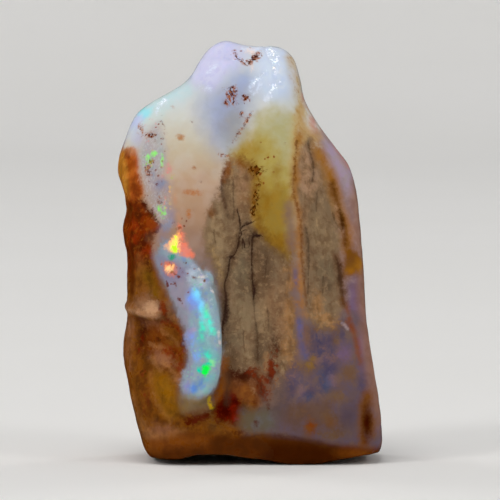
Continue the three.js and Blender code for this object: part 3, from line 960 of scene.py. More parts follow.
# %% Olive opal and the fold
coat(
    "olive", "765006 6C4808",
    [area([(-12.0, 20.9), (-10.8, 20.7), (-10.2, 19.5), (-9.7, 18.3), (-10.0, 17.5), (-10.8, 18.0),
           (-11.4, 19.2)])],
    soft=1.0, grit=0.2, cover=0.9,
)
coat(
    "olive_brown", "8A5828 7A4A1C",
    [spot(-12.0, 21.4, 0.4, 0.8), spot(-11.6, 18.8, 0.7, 0.4), spot(-9.6, 18.3, 0.4, 0.6)],
    soft=1.2, grit=0.3, cover=0.75,
)
coat(
    "tan_fold", "906648 8C6446",
    [area([(-12.8, 17.4), (-12.2, 18.0), (-11.0, 17.9), (-9.9, 16.9), (-9.6, 15.6), (-11.0, 15.6),
           (-12.6, 16.2)]), stroke([(-8.8, 15.6), (-9.0, 17.2)], 0.1)],
    soft=1.5, waves=0.35, grit=0.3, cover=0.95,
)
# A painted highlight along the crest of the fold.
coat(
    "fold_highlight", "BC926E",
    [stroke([(-13.4, 16.5), (-12.4, 16.2), (-11.4, 15.95), (-10.2, 15.75)], 0.16),
     spot(-10.7, 16.7, 0.8, 0.7)],
    soft=0.9, waves=0.25, grit=0.3, cover=0.85,
)
coat(
    "fold_shade", "481C06",
    [stroke([(-13.0, 15.6), (-11.6, 15.2), (-10.0, 15.0)], 0.16),
     stroke([(-9.5, 16.8), (-9.5, 15.8)], 0.1)],
    waves=0.2, grit=0.2, cover=0.8,
)
coat(
    "left_rim", "6A2A04 783206",
    [stroke([(-14.6, 29.2), (-14.2, 26.6), (-14.0, 20.6)], 0.5),
     stroke([(-14.2, 15.2), (-14.4, 12.0), (-14.0, 8.6), (-13.2, 4.6)], 0.6)],
    soft=1.4, waves=0.2, cover=0.8,
)

# %% The pocket
# Dark rusty opal in the hollow under the fold, made darker still as painted shade.
coat(
    "pocket", "3A1000 481602",
    [area([(-12.6, 15.5), (-11.4, 15.4), (-10.8, 14.2), (-11.4, 12.4), (-12.6, 11.6), (-13.0, 12.8),
           (-12.6, 14.0)]), spot(-11.2, 12.6, 0.5, 1.0)],
    soft=1.1, waves=0.4, grit=0.35, cover=0.95,
)
coat(
    "pocket_red", "7E1E02",
    [spot(-12.5, 12.4, 0.4, 0.35), spot(-11.9, 13.4, 0.25, 0.4)],
    soft=0.6, grit=0.3, cover=0.85,
)
coat(
    "brown_mass", "743404 7E3C08",
    [area([(-11.2, 14.8), (-10.0, 14.8), (-9.4, 13.6), (-9.2, 12.2), (-10.4, 11.6), (-11.4, 12.2)])],
    soft=1.2, waves=0.4, grit=0.4, cover=0.8,
)
coat(
    "pink_tan", "966648 8C5C40",
    [area([(-10.4, 11.9), (-9.4, 11.7), (-8.4, 11.2), (-8.0, 10.2), (-9.2, 10.2), (-10.2, 10.8)]),
     spot(-7.8, 8.8, 0.5, 0.5), spot(-10.8, 14.9, 0.7, 0.2), spot(-10.0, 3.0, 1.6, 0.8),
     spot(-13.2, 13.6, 0.3, 1.4)],
    soft=1.4, waves=0.4, grit=0.35, cover=0.8,
)

# %% Strands and strokes below the fold
coat(
    "tan_strands", "A06C3A",
    [stroke([(-11.0, 12.7), (-9.8, 12.3), (-8.6, 11.9)], 0.08),
     stroke([(-9.4, 10.6), (-8.8, 10.2), (-8.0, 9.2)], 0.12),
     stroke([(-10.8, 11.2), (-9.8, 9.6)], 0.08),
     stroke([(-9.6, 14.2), (-8.4, 13.4), (-7.8, 12.6)], 0.08),
     stroke([(-8.4, 15.6), (-8.0, 15.0)], 0.14)],
    soft=0.7, grit=0.3, cover=0.65,
)
coat(
    "rust_strokes", "7A2A02 6C2200",
    [stroke([(-9.5, 15.1), (-8.6, 14.8), (-7.8, 14.2), (-7.3, 13.2), (-7.0, 12.0)], 0.24),
     stroke([(-9.1, 11.9), (-8.2, 11.9), (-7.6, 11.4), (-7.4, 10.4)], 0.2),
     stroke([(-9.6, 17.2), (-9.4, 16.2), (-9.1, 15.2)], 0.12),
     stroke([(-8.6, 10.6), (-8.0, 9.8)], 0.08)],
    soft=0.6, waves=0.35, grit=0.4, cover=0.9,
)
coat(
    "rust_stroke_dark", "3E1200",
    [stroke([(-9.2, 14.8), (-8.2, 14.3)], 0.07), stroke([(-7.4, 13.4), (-7.1, 12.4)], 0.07),
     spot(-10.2, 13.3, 0.16, 0.2), stroke([(-8.6, 11.9), (-7.9, 11.5)], 0.07),
     spot(-11.4, 9.6, 0.3, 0.1), spot(-8.7, 8.3, 0.1, 0.14),
     stroke([(-11.25, 21.7), (-11.1, 20.8)], 0.06)],
    soft=0.4, waves=0.2, grit=0.3, cover=0.8,
)
coat(
    "rust_speckle", "8A3A12 7A2C0A",
    [area([(-9.0, 12.4), (-7.4, 12.4), (-7.0, 10.6), (-7.3, 9.2), (-8.2, 9.8), (-8.8, 11.0)]),
     spot(-11.4, 9.4, 0.7, 0.5), spot(-11.4, 6.8, 0.4, 1.2), spot(-12.4, 12.4, 0.3, 0.6)],
    soft=0.9, cover=0.95, pattern="mottle",
)

# %% What flows down to the foot
coat(
    "warm_lines", "9C6A38",
    [stroke([(-12.9, 7.0), (-12.6, 5.6), (-12.0, 3.6)], 0.2),
     stroke([(-10.9, 9.4), (-10.6, 7.4), (-9.8, 5.6), (-8.6, 4.4)], 0.12),
     stroke([(-11.9, 4.2), (-11.0, 2.8), (-9.2, 2.4), (-7.4, 3.0)], 0.4)],
    soft=1.0, grit=0.3, cover=0.6,
)
coat(
    "honey_flow", "8E5E08 946614",
    [area([(-10.4, 9.4), (-9.2, 9.0), (-8.2, 8.2), (-7.9, 6.8), (-7.8, 5.4), (-8.8, 4.6), (-9.8, 6.0),
           (-10.6, 8.0)])],
    soft=2.0, waves=0.4, grit=0.2, cover=0.85,
)
coat(
    "flow_curves", "452204 3E1C04",
    [stroke([(-12.4, 9.6), (-12.2, 7.0), (-11.6, 4.8), (-10.6, 3.2)], 0.1),
     stroke([(-11.4, 9.8), (-11.2, 7.4), (-10.6, 5.4), (-9.4, 3.9)], 0.08),
     stroke([(-10.1, 9.2), (-9.8, 7.4), (-9.0, 5.8), (-8.0, 4.9)], 0.07),
     stroke([(-12.9, 6.2), (-12.4, 4.2), (-11.6, 2.6)], 0.12),
     stroke([(-11.8, 11.4), (-11.3, 10.2), (-11.6, 8.4)], 0.14),
     stroke([(-8.6, 6.4), (-8.1, 5.3), (-7.0, 4.6), (-5.6, 4.0)], 0.1),
     stroke([(-8.0, 3.9), (-6.4, 3.4), (-4.6, 3.1)], 0.14)],
    soft=0.9, waves=0.35, grit=0.3, cover=0.5,
)
coat("ochre_shadow", "3E1C02", on="ochre", soft=1.0, cover=0.27, pattern="blotches")
coat("flow_lines", "4A2404", on="ochre", soft=1.0, cover=0.22, pattern="flow")
coat("ochre_mottle", "A0661C", on="ochre", soft=1.0, cover=0.2, pattern="fine_clouds")

# %% [markdown]
# ## The foot
# The lowest band of the stone is clear dark amber. Its edge is a ledge that runs round the stone.
# Rust and red iron gather above it, below the left splinter of wood.

# %% The root of the left splinter
coat(
    "amber_root", "6E4412 64401A",
    [area([(-3.8, 7.0), (-3.0, 9.0), (-2.9, 11.6), (-2.3, 11.0), (-2.0, 9.0), (-0.6, 8.6), (1.0, 8.2),
           (1.8, 6.8), (1.0, 5.2), (-0.8, 4.2), (-4.0, 3.2), (-4.8, 5.0)])],
    soft=1.4, waves=0.4, grit=0.3, cover=0.9,
)
coat(
    "root_orange", "703A14 663210",
    [area([(-3.4, 9.6), (-1.2, 9.5), (1.0, 9.8), (2.4, 9.2), (2.8, 7.6), (1.8, 6.6), (-0.4, 6.2),
           (-2.4, 6.6), (-3.4, 7.4)])],
    soft=1.4, waves=0.5, grit=0.4, cover=0.8,
)
coat(
    "root_lilac", "63504A 6A5650",
    [area([(1.6, 8.2), (3.0, 9.4), (4.0, 8.0), (3.4, 4.0), (1.6, 3.2), (1.0, 5.0)])],
    soft=1.8, waves=0.4, grit=0.3, cover=0.8,
)
coat("root_shadow", "3A1E08", on="amber_root", soft=1.2, cover=0.45, pattern="blotches")
coat(
    "orange_clouds", "945A20 8C4E18",
    [spot(0.5, 6.2, 0.5, 0.7), spot(-0.7, 7.6, 0.5, 0.6), spot(2.2, 7.8, 0.3, 0.6)],
    soft=1.4, waves=0.4, grit=0.4, cover=0.6,
)

# %% Rust and red iron
coat(
    "centre_rust", "421604 3A1000",
    [stroke([(-2.2, 9.6), (-1.0, 9.2), (0.2, 9.2), (1.0, 8.8), (1.5, 7.7)], 0.5),
     spot(2.35, 9.8, 0.35, 1.3), spot(2.9, 12.3, 0.14, 0.8)],
    soft=1.2, grit=0.4, cover=0.95,
)
coat(
    "pale_strands", "9C7852",
    [stroke([(1.1, 9.4), (1.9, 7.7)], 0.1), stroke([(1.9, 11.6), (1.8, 9.8)], 0.2),
     stroke([(2.8, 9.0), (3.1, 8.0)], 0.16), stroke([(0.2, 8.4), (0.6, 7.4)], 0.1)],
    soft=0.7, waves=0.2, grit=0.3, cover=0.7,
)
coat(
    "centre_rust_strokes", "6A1C02 5C1600",
    [stroke([(2.5, 10.9), (2.4, 10.0), (2.5, 9.0)], 0.14), stroke([(1.3, 8.9), (0.9, 8.0)], 0.12),
     stroke([(1.6, 8.4), (2.0, 7.4)], 0.08), stroke([(-0.2, 9.6), (0.5, 9.2)], 0.12)],
    soft=0.5, waves=0.25, grit=0.35, cover=0.85,
)
coat(
    "rust_scrawl", "7C3412 6C260A",
    [area([(0.2, 9.9), (1.4, 9.5), (2.0, 10.6), (2.9, 12.2), (3.2, 10.0), (2.8, 8.4), (2.2, 7.2),
           (1.2, 7.3), (0.4, 8.2)])],
    soft=1.0, waves=0.5, grit=0.5, cover=0.85, pattern="mottle",
)
coat(
    "deep_red", "600C00 561000",
    [area([(-3.6, 6.6), (-2.6, 7.4), (-1.4, 7.0), (-1.0, 5.4), (-1.4, 4.1), (-3.2, 4.1), (-3.8, 5.0)])],
    soft=1.2, waves=0.35, grit=0.4, cover=0.95,
)
coat(
    "deep_red_core", "340200 3E0400",
    [spot(-2.5, 5.4, 0.7, 0.9), spot(-3.0, 4.4, 0.3, 0.3), spot(-1.6, 6.4, 0.3, 0.3)],
    soft=1.0, waves=0.35, grit=0.45, cover=0.85,
)
coat(
    "bright_red", "8A1A04",
    [spot(-1.9, 5.5, 0.2, 0.3), spot(-1.6, 4.6, 0.35, 0.3), spot(-2.5, 4.4, 0.16, 0.16)],
    soft=0.6, grit=0.4, cover=0.5,
)
coat(
    "grey_green", "68624E 6A6A68",
    [area([(-0.8, 5.2), (0.6, 5.6), (2.2, 5.2), (3.0, 4.0), (1.8, 3.0), (-0.4, 3.0), (-1.0, 4.0)])],
    soft=1.6, waves=0.4, grit=0.2, cover=0.7,
)

# %% The amber foot
FOOT_TOP = [
    (-6.0, 3.0), (-3.0, 2.6), (0.0, 2.5), (2.5, 2.6), (5.0, 2.3), (7.0, 2.0), (9.0, 1.6), (11.0, 1.4),
    (13.0, 1.2), (17, 1.2),
]
coat(
    "amber_foot", "582804 502404",
    [area([(-17, 1.5), (-10.0, 2.0)] + FOOT_TOP + [(17, -2), (-17, -2)], limits=(-BEYOND, 5)),
     area([(-17, 3.4), (-9.0, 3.6), (-2.0, 2.4), (5.0, 3.2), (11.0, 2.6), (17, 2.4), (17, -2),
           (-17, -2)], "back")],
    soft=1.1, waves=0.2, cover=0.95,
)
coat(
    "foot_dark", "3C1402",
    [area([(2.0, 1.4), (5.0, 1.7), (9.0, 1.2), (9.6, -2), (1.0, -2)])],
    soft=1.8, waves=0.2, cover=0.75,
)
coat(
    "foot_light", "8A4C12 7E4410",
    [stroke([(-12.4, 1.0), (-9.0, 1.8), (-5.0, 2.3)], 0.6), spot(12.0, 0.8, 1.6, 0.6)],
    soft=1.6, grit=0.2, cover=0.7,
)
coat(
    "foot_edge", "46280E",
    [stroke([(0.6, 2.7), (3.0, 2.7), (5.4, 2.4), (8.0, 1.9)], 0.1)],
    soft=0.7, waves=0.1, cover=0.6,
)
coat(
    "foot_spots", "4A1A02 542204",
    [spot(0.7, 4.0, 0.2, 0.3), spot(-1.1, 3.0, 0.45, 0.12), spot(2.1, 6.0, 0.16, 0.3),
     spot(0.6, 6.2, 0.25, 0.45)],
    soft=0.5, waves=0.15, grit=0.2, cover=0.8,
)
coat(
    "under_lens", "4E0E00 5A1402",
    [stroke([(-6.6, 4.1), (-5.6, 4.4), (-4.7, 4.8)], 0.35), stroke([(-6.2, 5.2), (-5.2, 5.4)], 0.12)],
    soft=0.5, grit=0.4, cover=0.85,
)

# %% [markdown]
# ## The lens of precious opal
# The bright opal stands proud of the face as a long lens. It is made of tiny balls of silica in even
# rows, which split white light into colours, so its body is pale and its fire is in patches, each
# with one colour. The patches follow flat grains in the opal, so a cell pattern breaks them up. Real
# fire changes as the stone is turned. A colour here may not follow the eye, so each patch keeps
# the colour that it has from the front, with a little glow to make up for the flash.

# %% The lens's body
LENS = [
    (-9.0, 24.2), (-7.4, 23.0), (-5.2, 20.8), (-3.7, 18.4), (-3.1, 15.6), (-2.9, 13.0), (-3.05, 10.4),
    (-3.5, 8.4), (-4.3, 7.1), (-5.6, 6.3), (-7.0, 6.6), (-7.4, 8.2), (-6.8, 10.4), (-6.7, 13.0),
    (-7.3, 15.4), (-8.4, 18.0), (-9.6, 20.6), (-10.2, 22.4),
]
coat("lens_margin", "7A6C74 80737A", [area(LENS)], soft=1.0, cover=0.85)
coat(
    "lens", "8FA8BA 98AAB8",
    [area(LENS), spot(-4.6, 19.6, 0.8, 1.2)],
    soft=0.9, waves=0.25, cover=0.85,
)
coat("lens_clouds", "A8B2BA A0A6B6", on="lens", soft=1.6, cover=0.5, pattern="fine_clouds")
coat("lens_green_play", "78BCB0", on="lens", soft=1.6, cover=0.35, pattern="mottle")
coat("lens_rose_play", "A89CAC", on="lens", soft=2.0, cover=0.5, pattern="blotches")
coat("lens_blue_play", "7496CC 848AC4", on="lens", soft=1.6, cover=0.45, pattern="other_flecks")

# %% The lens's margins
coat(
    "lens_lilac", "A0909E 968C9C",
    [area([(-9.8, 22.0), (-8.0, 21.8), (-6.8, 20.4), (-6.8, 17.6), (-6.6, 15.0), (-6.4, 12.8),
           (-6.9, 13.6), (-7.5, 16.2), (-8.8, 18.6)]), spot(-6.5, 10.6, 0.3, 1.2)],
    soft=1.0, waves=0.4, cover=0.8,
)
coat(
    "lens_teal", "7CB2B8 84AEBE",
    [spot(-4.8, 12.4, 1.2, 2.6), spot(-4.4, 16.2, 0.7, 1.6)],
    soft=2.0, waves=0.5, cover=0.35,
)
# A painted highlight along the lens's raised right edge.
coat(
    "lens_rim_highlight", "A9B4B0",
    [stroke([(-4.2, 19.6), (-3.4, 17.4), (-3.1, 15.0), (-2.95, 12.0), (-3.1, 9.4)], 0.16)],
    waves=0.15, cover=0.6,
)
coat(
    "lens_foot", "8C7246 86704E",
    [area([(-7.6, 7.2), (-6.0, 6.9), (-4.4, 7.0), (-4.0, 6.2), (-5.6, 5.4), (-7.4, 5.6)])],
    soft=1.2, waves=0.35, cover=0.85,
)
coat(
    "amber_root_left", "8A4C10 8A5018",
    [stroke([(-2.75, 11.0), (-2.75, 9.4), (-2.95, 7.8), (-3.7, 6.6)], 0.3)],
    waves=0.25, grit=0.25, cover=0.9,
)
coat(
    "blue_haze", "8A829A 8A829C",
    [area([(-10.4, 23.0), (-9.6, 22.6), (-8.4, 22.0), (-7.0, 21.6), (-5.8, 21.4), (-6.4, 20.4),
           (-7.6, 19.8), (-9.4, 19.8), (-10.0, 21.2)]), spot(-9.7, 30.2, 0.7, 0.8),
     spot(-8.6, 27.0, 0.4, 0.7), spot(-9.4, 25.2, 0.5, 0.8)],
    soft=1.6, waves=0.4, cover=0.75,
)

# %% Blue and violet fire
coat(
    "fire_blue", "7EAEF2 7498EE",
    [spot(-6.0, 17.5, 0.9, 1.0), spot(-6.3, 13.4, 0.3, 0.6), spot(-5.6, 11.4, 0.3, 0.5)],
    soft=1.3, waves=0.4, cover=0.9, pattern="facets", glow=0.1,
)
coat(
    "fire_light_blue", "84DCF6",
    [spot(-5.7, 18.2, 0.4, 0.5), spot(-5.2, 16.6, 0.25, 0.7)],
    waves=0.25, cover=0.9, glow=0.16,
)
coat(
    "lens_white", "C2D2DE",
    [spot(-6.4, 20.4, 0.4, 0.6), spot(-5.4, 19.4, 0.4, 0.4), spot(-4.6, 15.4, 0.14, 1.0)],
    soft=1.2, grit=0.25, cover=0.7, glow=0.04,
)
coat(
    "fire_violet", "9484C4 9686B0",
    [spot(-6.5, 16.7, 0.4, 0.5), spot(-6.8, 8.0, 0.35, 0.4), spot(-6.4, 14.2, 0.2, 0.4)],
    soft=1.0, cover=0.7, glow=0.04,
)
coat(
    "lens_specks", "74CCA4 9CC8A0",
    [spot(-5.6, 19.0, 1.0, 1.0), spot(-5.4, 12.6, 0.9, 2.2), spot(-3.9, 12.0, 0.5, 2.4),
     spot(-6.3, 9.4, 0.4, 1.2)],
    soft=1.2, cover=0.6, pattern="flecks", glow=0.06,
)

# %% Green fire
coat(
    "fire_cyan", "30E0B8 48E2CE",
    [stroke([(-4.9, 16.4), (-4.5, 15.2), (-4.1, 13.9)], 0.26), spot(-5.2, 14.4, 0.2, 0.5),
     spot(-4.6, 11.4, 0.25, 0.3)],
    cover=0.95, pattern="facets", glow=0.24,
)
coat(
    "fire_teal", "5CBEB4 64C6B8",
    [spot(-4.8, 12.4, 0.5, 0.8), spot(-4.0, 11.2, 0.5, 0.5), spot(-4.4, 8.8, 0.6, 0.4),
     spot(-5.0, 7.8, 0.5, 0.3)],
    soft=1.4, waves=0.4, cover=0.45, pattern="facets", glow=0.05,
)
coat(
    "fire_pale_green", "8AE094",
    [spot(-4.7, 16.8, 0.14, 0.4), spot(-4.2, 10.6, 0.28, 0.3)],
    soft=0.5, waves=0.2, cover=0.85, glow=0.12,
)
coat(
    "fire_green", "10E048 14DA60",
    [area([(-5.3, 10.3), (-4.6, 10.45), (-4.35, 10.1), (-4.5, 9.5), (-4.9, 9.2), (-5.3, 9.6)])],
    soft=0.4, waves=0.12, grit=0.15, glow=0.35,
)
coat(
    "fire_green_edge", "00C6A8",
    [spot(-5.55, 9.9, 0.3, 0.36), stroke([(-5.5, 9.9), (-4.9, 10.5), (-4.3, 10.5)], 0.08)],
    soft=0.4, waves=0.12, glow=0.22,
)

# %% Small fires and glints
coat(
    "fire_low_blue", "4E84D4 5888D0",
    [spot(-6.0, 7.9, 0.45, 0.4), spot(-5.5, 8.3, 0.25, 0.4)],
    soft=0.9, cover=0.85, glow=0.1,
)
coat(
    "fire_low_yellow", "CCA206 BCB010",
    [stroke([(-4.3, 6.8), (-4.4, 6.3), (-4.2, 5.8)], 0.2)],
    soft=0.5, waves=0.2, grit=0.15, cover=0.95, glow=0.1,
)
coat(
    "fire_pink", "C09C9C",
    [spot(-5.2, 10.9, 0.24, 0.2), spot(-6.1, 14.3, 0.25, 0.2)],
    soft=0.6, waves=0.2, cover=0.6, glow=0.04,
)
coat(
    "lens_glints", "F0DED2",
    [spot(-4.2, 18.5, 0.22, 0.14), spot(-5.6, 20.9, 0.1, 0.16), spot(-4.0, 19.6, 0.14, 0.08),
     spot(-3.5, 13.8, 0.1, 0.3), spot(-3.4, 12.9, 0.14, 0.2), spot(-5.0, 20.1, 0.3, 0.06)],
    soft=0.35, waves=0.15, cover=0.8, glow=0.1,
)
# A thin painted highlight, with a little glow, along the lens's raised brow.
coat(
    "lens_highlight_line", "E4E4DC",
    [stroke([(-4.4, 19.2), (-4.25, 17.8), (-4.2, 16.4)], 0.04)],
    soft=0.3, waves=0.1, grit=0.15, cover=0.6, glow=0.05,
)

# %% Flashes above the lens
coat(
    "flash_coral", "D87A60 D28070",
    [area([(-7.8, 26.0), (-7.5, 25.2), (-6.8, 23.8), (-6.1, 22.4), (-7.0, 22.3), (-7.9, 22.7),
           (-7.8, 24.4)])],
    soft=0.6, waves=0.2, grit=0.2, pattern="facets", glow=0.2,
)
coat(
    "flash_orange", "EEA066 F0B484",
    [area([(-9.3, 23.4), (-8.9, 24.0), (-8.2, 24.8), (-7.8, 25.2), (-7.6, 23.6), (-7.8, 22.6),
           (-8.6, 22.7)])],
    soft=0.5, waves=0.25, grit=0.3, glow=0.24, pattern="facets",
)
coat(
    "flash_yellow", "FAD06C F8D888",
    [area([(-8.7, 23.8), (-8.4, 24.4), (-7.9, 24.6), (-7.9, 23.4), (-8.2, 22.9), (-8.7, 23.2)])],
    soft=0.5, waves=0.2, grit=0.2, glow=0.28,
)
coat(
    "flash_lime", "B8EA24",
    [area([(-8.5, 23.3), (-8.1, 23.6), (-7.8, 23.0), (-8.0, 22.6), (-8.4, 22.7)]),
     spot(-8.15, 24.1, 0.08, 0.3)],
    soft=0.35, grit=0.25, glow=0.35,
)
coat(
    "flash_teal", "2E9678",
    [area([(-9.0, 22.5), (-8.4, 22.7), (-8.0, 22.5), (-8.2, 22.0), (-8.8, 21.9)])],
    soft=0.5, grit=0.2, glow=0.15,
)
coat(
    "flash_peach", "C89070",
    [stroke([(-7.9, 27.0), (-7.7, 26.4)], 0.14), spot(-8.2, 28.6, 0.25, 0.6)],
    soft=0.6, waves=0.2, cover=0.65,
)

# %% The second flash
coat(
    "flash_second", "E08058 DC7454",
    [area([(-9.3, 21.8), (-8.5, 21.6), (-7.9, 21.2), (-8.3, 20.4), (-8.9, 20.5), (-9.4, 21.2)])],
    soft=0.7, waves=0.25, grit=0.3, pattern="facets", glow=0.18,
)
coat(
    "flash_second_core", "FACB8C",
    [spot(-8.9, 21.0, 0.3, 0.26), spot(-8.5, 21.3, 0.14)],
    soft=0.45, waves=0.2, grit=0.2, glow=0.24,
)

# %% Flecks of fire in the veil
coat(
    "green_flecks", "84C85C 96CC54",
    [spot(-11.1, 33.0, 0.5, 0.7), spot(-9.9, 27.5, 0.45, 0.6), spot(-9.4, 27.1, 0.3, 0.4),
     spot(-8.5, 30.9, 0.3, 0.6)],
    soft=0.9, cover=0.75, pattern="flecks", glow=0.12,
)
coat(
    "small_greens", "7CDC5C 92E078",
    [spot(-10.5, 33.7, 0.2, 0.28), spot(-9.7, 32.6, 0.08, 0.3), spot(-9.95, 27.6, 0.12, 0.2),
     spot(-9.4, 27.1, 0.12, 0.24), spot(-11.2, 33.3, 0.1, 0.16), spot(-10.9, 32.7, 0.12, 0.1)],
    soft=0.35, waves=0.2, grit=0.2, cover=0.9, glow=0.2,
)
coat(
    "yellow_flecks", "D0C068 D8A878",
    [stroke([(-8.8, 29.9), (-9.0, 28.8), (-8.9, 27.8)], 0.22), spot(-8.3, 28.6, 0.14, 0.4),
     spot(-11.0, 32.6, 0.3, 0.3)],
    soft=0.7, cover=0.85, pattern="other_flecks", glow=0.12,
)
coat(
    "pink_glow", "CC8C84",
    [spot(-8.9, 32.0, 0.4, 0.34), stroke([(-8.9, 32.0), (-9.7, 31.1)], 0.14)],
    soft=1.0, grit=0.3, cover=0.75, glow=0.06,
)
coat(
    "pink_flecks", "D68884 D08C90",
    [spot(-8.9, 31.8, 0.8, 0.9), spot(-9.3, 28.2, 0.4, 0.7), spot(-11.0, 34.3, 0.3, 0.6),
     spot(-11.0, 37.0, 0.5, 0.4)],
    soft=1.0, cover=0.7, pattern="flecks", glow=0.08,
)
coat(
    "small_blues", "8092AC",
    [spot(-9.5, 30.4, 0.3, 0.35), spot(-10.0, 29.8, 0.2, 0.5), spot(-10.6, 31.4, 0.16, 0.6),
     spot(-9.2, 25.6, 0.4, 0.5)],
    soft=0.9, grit=0.2, cover=0.65, glow=0.03,
)

# %% [markdown]
# ## Dirt and cracks
# Iron oxide sits in pin holes, single or in swarms, and fills the cracks of the wood. The swarms are
# areas where a cell pattern decides which cells hold a grain. The larger grains are spots.

# %% Swarms of iron grains
coat(
    "swarms", "B0682C A0541A",
    [area([(-3.1, 41.0), (-2.4, 40.9), (-1.7, 41.2), (-1.4, 40.5), (-1.6, 39.7), (-1.3, 39.1),
           (-2.0, 38.9), (-2.8, 39.1), (-2.5, 39.8), (-2.6, 40.4)]), spot(-0.45, 39.75, 0.4, 0.34),
     spot(0.05, 39.4, 0.2, 0.15), stroke([(-0.3, 43.5), (0.1, 43.8), (0.6, 44.15), (1.1, 44.6)], 0.28),
     stroke([(-1.65, 45.1), (-1.5, 44.5), (-1.45, 44.1), (-1.0, 43.9), (-0.75, 43.6)], 0.12),
     stroke([(0.15, 38.2), (-0.1, 37.5), (-0.6, 36.8), (-1.2, 35.9), (-1.8, 34.9)], 0.06),
     spot(-0.9, 38.1, 0.12), spot(-11.1, 35.7, 0.5, 0.26), spot(-11.9, 36.4, 0.14, 0.25),
     spot(-11.1, 31.7, 0.3, 0.5), spot(-10.75, 32.7, 0.16, 0.2), spot(-10.0, 28.6, 0.16, 0.35),
     stroke([(-3.2, 33.6), (-2.6, 33.3)], 0.16)],
    soft=0.5, waves=0.2, grit=0.25, cover=0.9, pattern="other_crumbs",
)
coat(
    "swarm_cores", "5A1C0A 4A1204", on="swarms", soft=0.3, waves=0.2, grit=0.2, cover=0.95,
    pattern="crumbs",
)
coat(
    "dense_cores", "52200E 46160A",
    [stroke([(0.0, 43.75), (0.45, 44.15), (0.95, 44.5)], 0.1), spot(-1.7, 40.4, 0.14),
     spot(-2.05, 40.1, 0.12, 0.2), spot(-0.4, 39.9, 0.16, 0.08), spot(-11.1, 35.7, 0.3, 0.12),
     spot(1.0, 31.9, 0.4, 0.25), spot(0.9, 30.3, 0.14, 0.2)],
    soft=0.3, waves=0.2, grit=0.3, cover=0.85,
)
coat(
    "honey_swarm", "7A4A10 6A3A0A",
    [spot(0.9, 31.8, 0.8, 0.5), spot(0.95, 30.3, 0.28, 0.5),
     stroke([(0.7, 29.4), (0.6, 28.0), (0.3, 27.0)], 0.3)],
    soft=0.5, waves=0.2, grit=0.25, cover=0.9, pattern="other_crumbs",
)
coat(
    "honey_swarm_cores", "3E1A04 341402", on="honey_swarm", soft=0.3, waves=0.2, grit=0.2, cover=0.9,
    pattern="crumbs",
)
coat(
    "few_grains", "7A2E08 863A10",
    [area([(-11.8, 36.6), (-9.6, 37.2), (-9.6, 33.0), (-10.4, 28.0), (-11.6, 30.0)]),
     area([(-1.8, 45.0), (0.6, 45.0), (0.4, 42.8), (-1.8, 42.8)]),
     area([(0.2, 33.4), (3.0, 35.4), (2.4, 31.0), (0.4, 26.8)]),
     area([(-9.6, 21.4), (-4.6, 20.6), (-5.0, 19.2), (-7.0, 17.0), (-9.4, 18.8)]),
     area([(-8.4, 26.4), (-6.8, 26.4), (-7.0, 25.0), (-8.2, 25.0)])],
    waves=0.4, cover=0.8, pattern="sparse_specks",
)

# %% Single grains of iron
coat(
    "grains", "6A2404 762A06",
    [spots([(-1.9, 40.4), (-3.0, 40.8), (-2.7, 39.2), (-0.8, 43.9), (-1.4, 44.6), (-1.8, 43.3),
            (0.1, 39.4), (-0.5, 39.2), (0.1, 38.2), (-0.1, 37.6), (-1.2, 36.0), (-1.8, 34.9),
            (-3.2, 33.5), (-2.7, 33.4), (-6.2, 32.1), (-5.4, 30.5), (-11.0, 32.9), (-11.1, 30.6),
            (-10.2, 30.3), (-9.7, 37.2), (-9.5, 36.8), (-9.5, 35.3), (-10.4, 35.1), (-6.4, 37.2),
            (3.9, 34.8), (2.4, 28.1)], 0.07),
     spots([(-1.8, 40.1), (-0.5, 39.7), (-0.6, 36.7), (-1.4, 35.8), (-11.3, 35.7), (-10.9, 35.6),
            (-11.2, 31.7), (-10.0, 28.3), (-7.0, 26.2), (-8.3, 26.0), (0.4, 32.8), (0.9, 30.3),
            (-6.1, 20.0), (-8.3, 19.3), (-7.7, 21.0), (-7.7, 17.5), (-12.0, 36.4), (-8.7, 8.3),
            (-10.3, 13.3)], 0.11), stroke([(-8.2, 21.2), (-8.0, 21.0)], 0.07),
     stroke([(-7.3, 21.7), (-7.0, 21.6)], 0.06), stroke([(-8.1, 20.3), (-7.7, 20.1)], 0.08),
     spots([(-8.8, 21.6), (-8.6, 20.6), (-8.3, 25.9), (-8.0, 25.3), (-7.7, 25.5), (-8.1, 25.0),
            (-7.4, 20.6)], 0.09), stroke([(-6.3, 20.1), (-5.9, 19.9)], 0.07),
     spot(-5.0, 19.7, 0.16, 0.12), stroke([(-9.1, 19.5), (-9.0, 19.1)], 0.1),
     stroke([(-8.2, 19.5), (-8.1, 19.0)], 0.07), stroke([(-7.8, 17.8), (-7.4, 17.2)], 0.07)],
    soft=0.2, waves=0.1, grit=0.18, cover=0.85,
)
coat(
    "ring_spot", "AC6E36",
    [spot(-7.6, 35.5, 0.38, 0.3), spot(-6.15, 32.1, 0.16, 0.14),
     stroke([(-12.1, 36.7), (-11.85, 36.4), (-11.8, 36.0)], 0.1), spot(-8.5, 38.8, 0.16, 0.12)],
    soft=0.4, waves=0.12, grit=0.15, cover=0.8,
)
coat(
    "orange_marks", "B46A26",
    [spot(-6.2, 29.4, 0.6, 0.2), spot(-6.7, 27.0, 0.14, 0.24)],
    soft=0.6, waves=0.15, grit=0.2, cover=0.85,
)
coat(
    "ring_spot_middle", "B8A58C",
    [spot(-7.8, 35.6, 0.18, 0.14)],
    soft=0.25, waves=0.05, grit=0.08, cover=0.8,
)

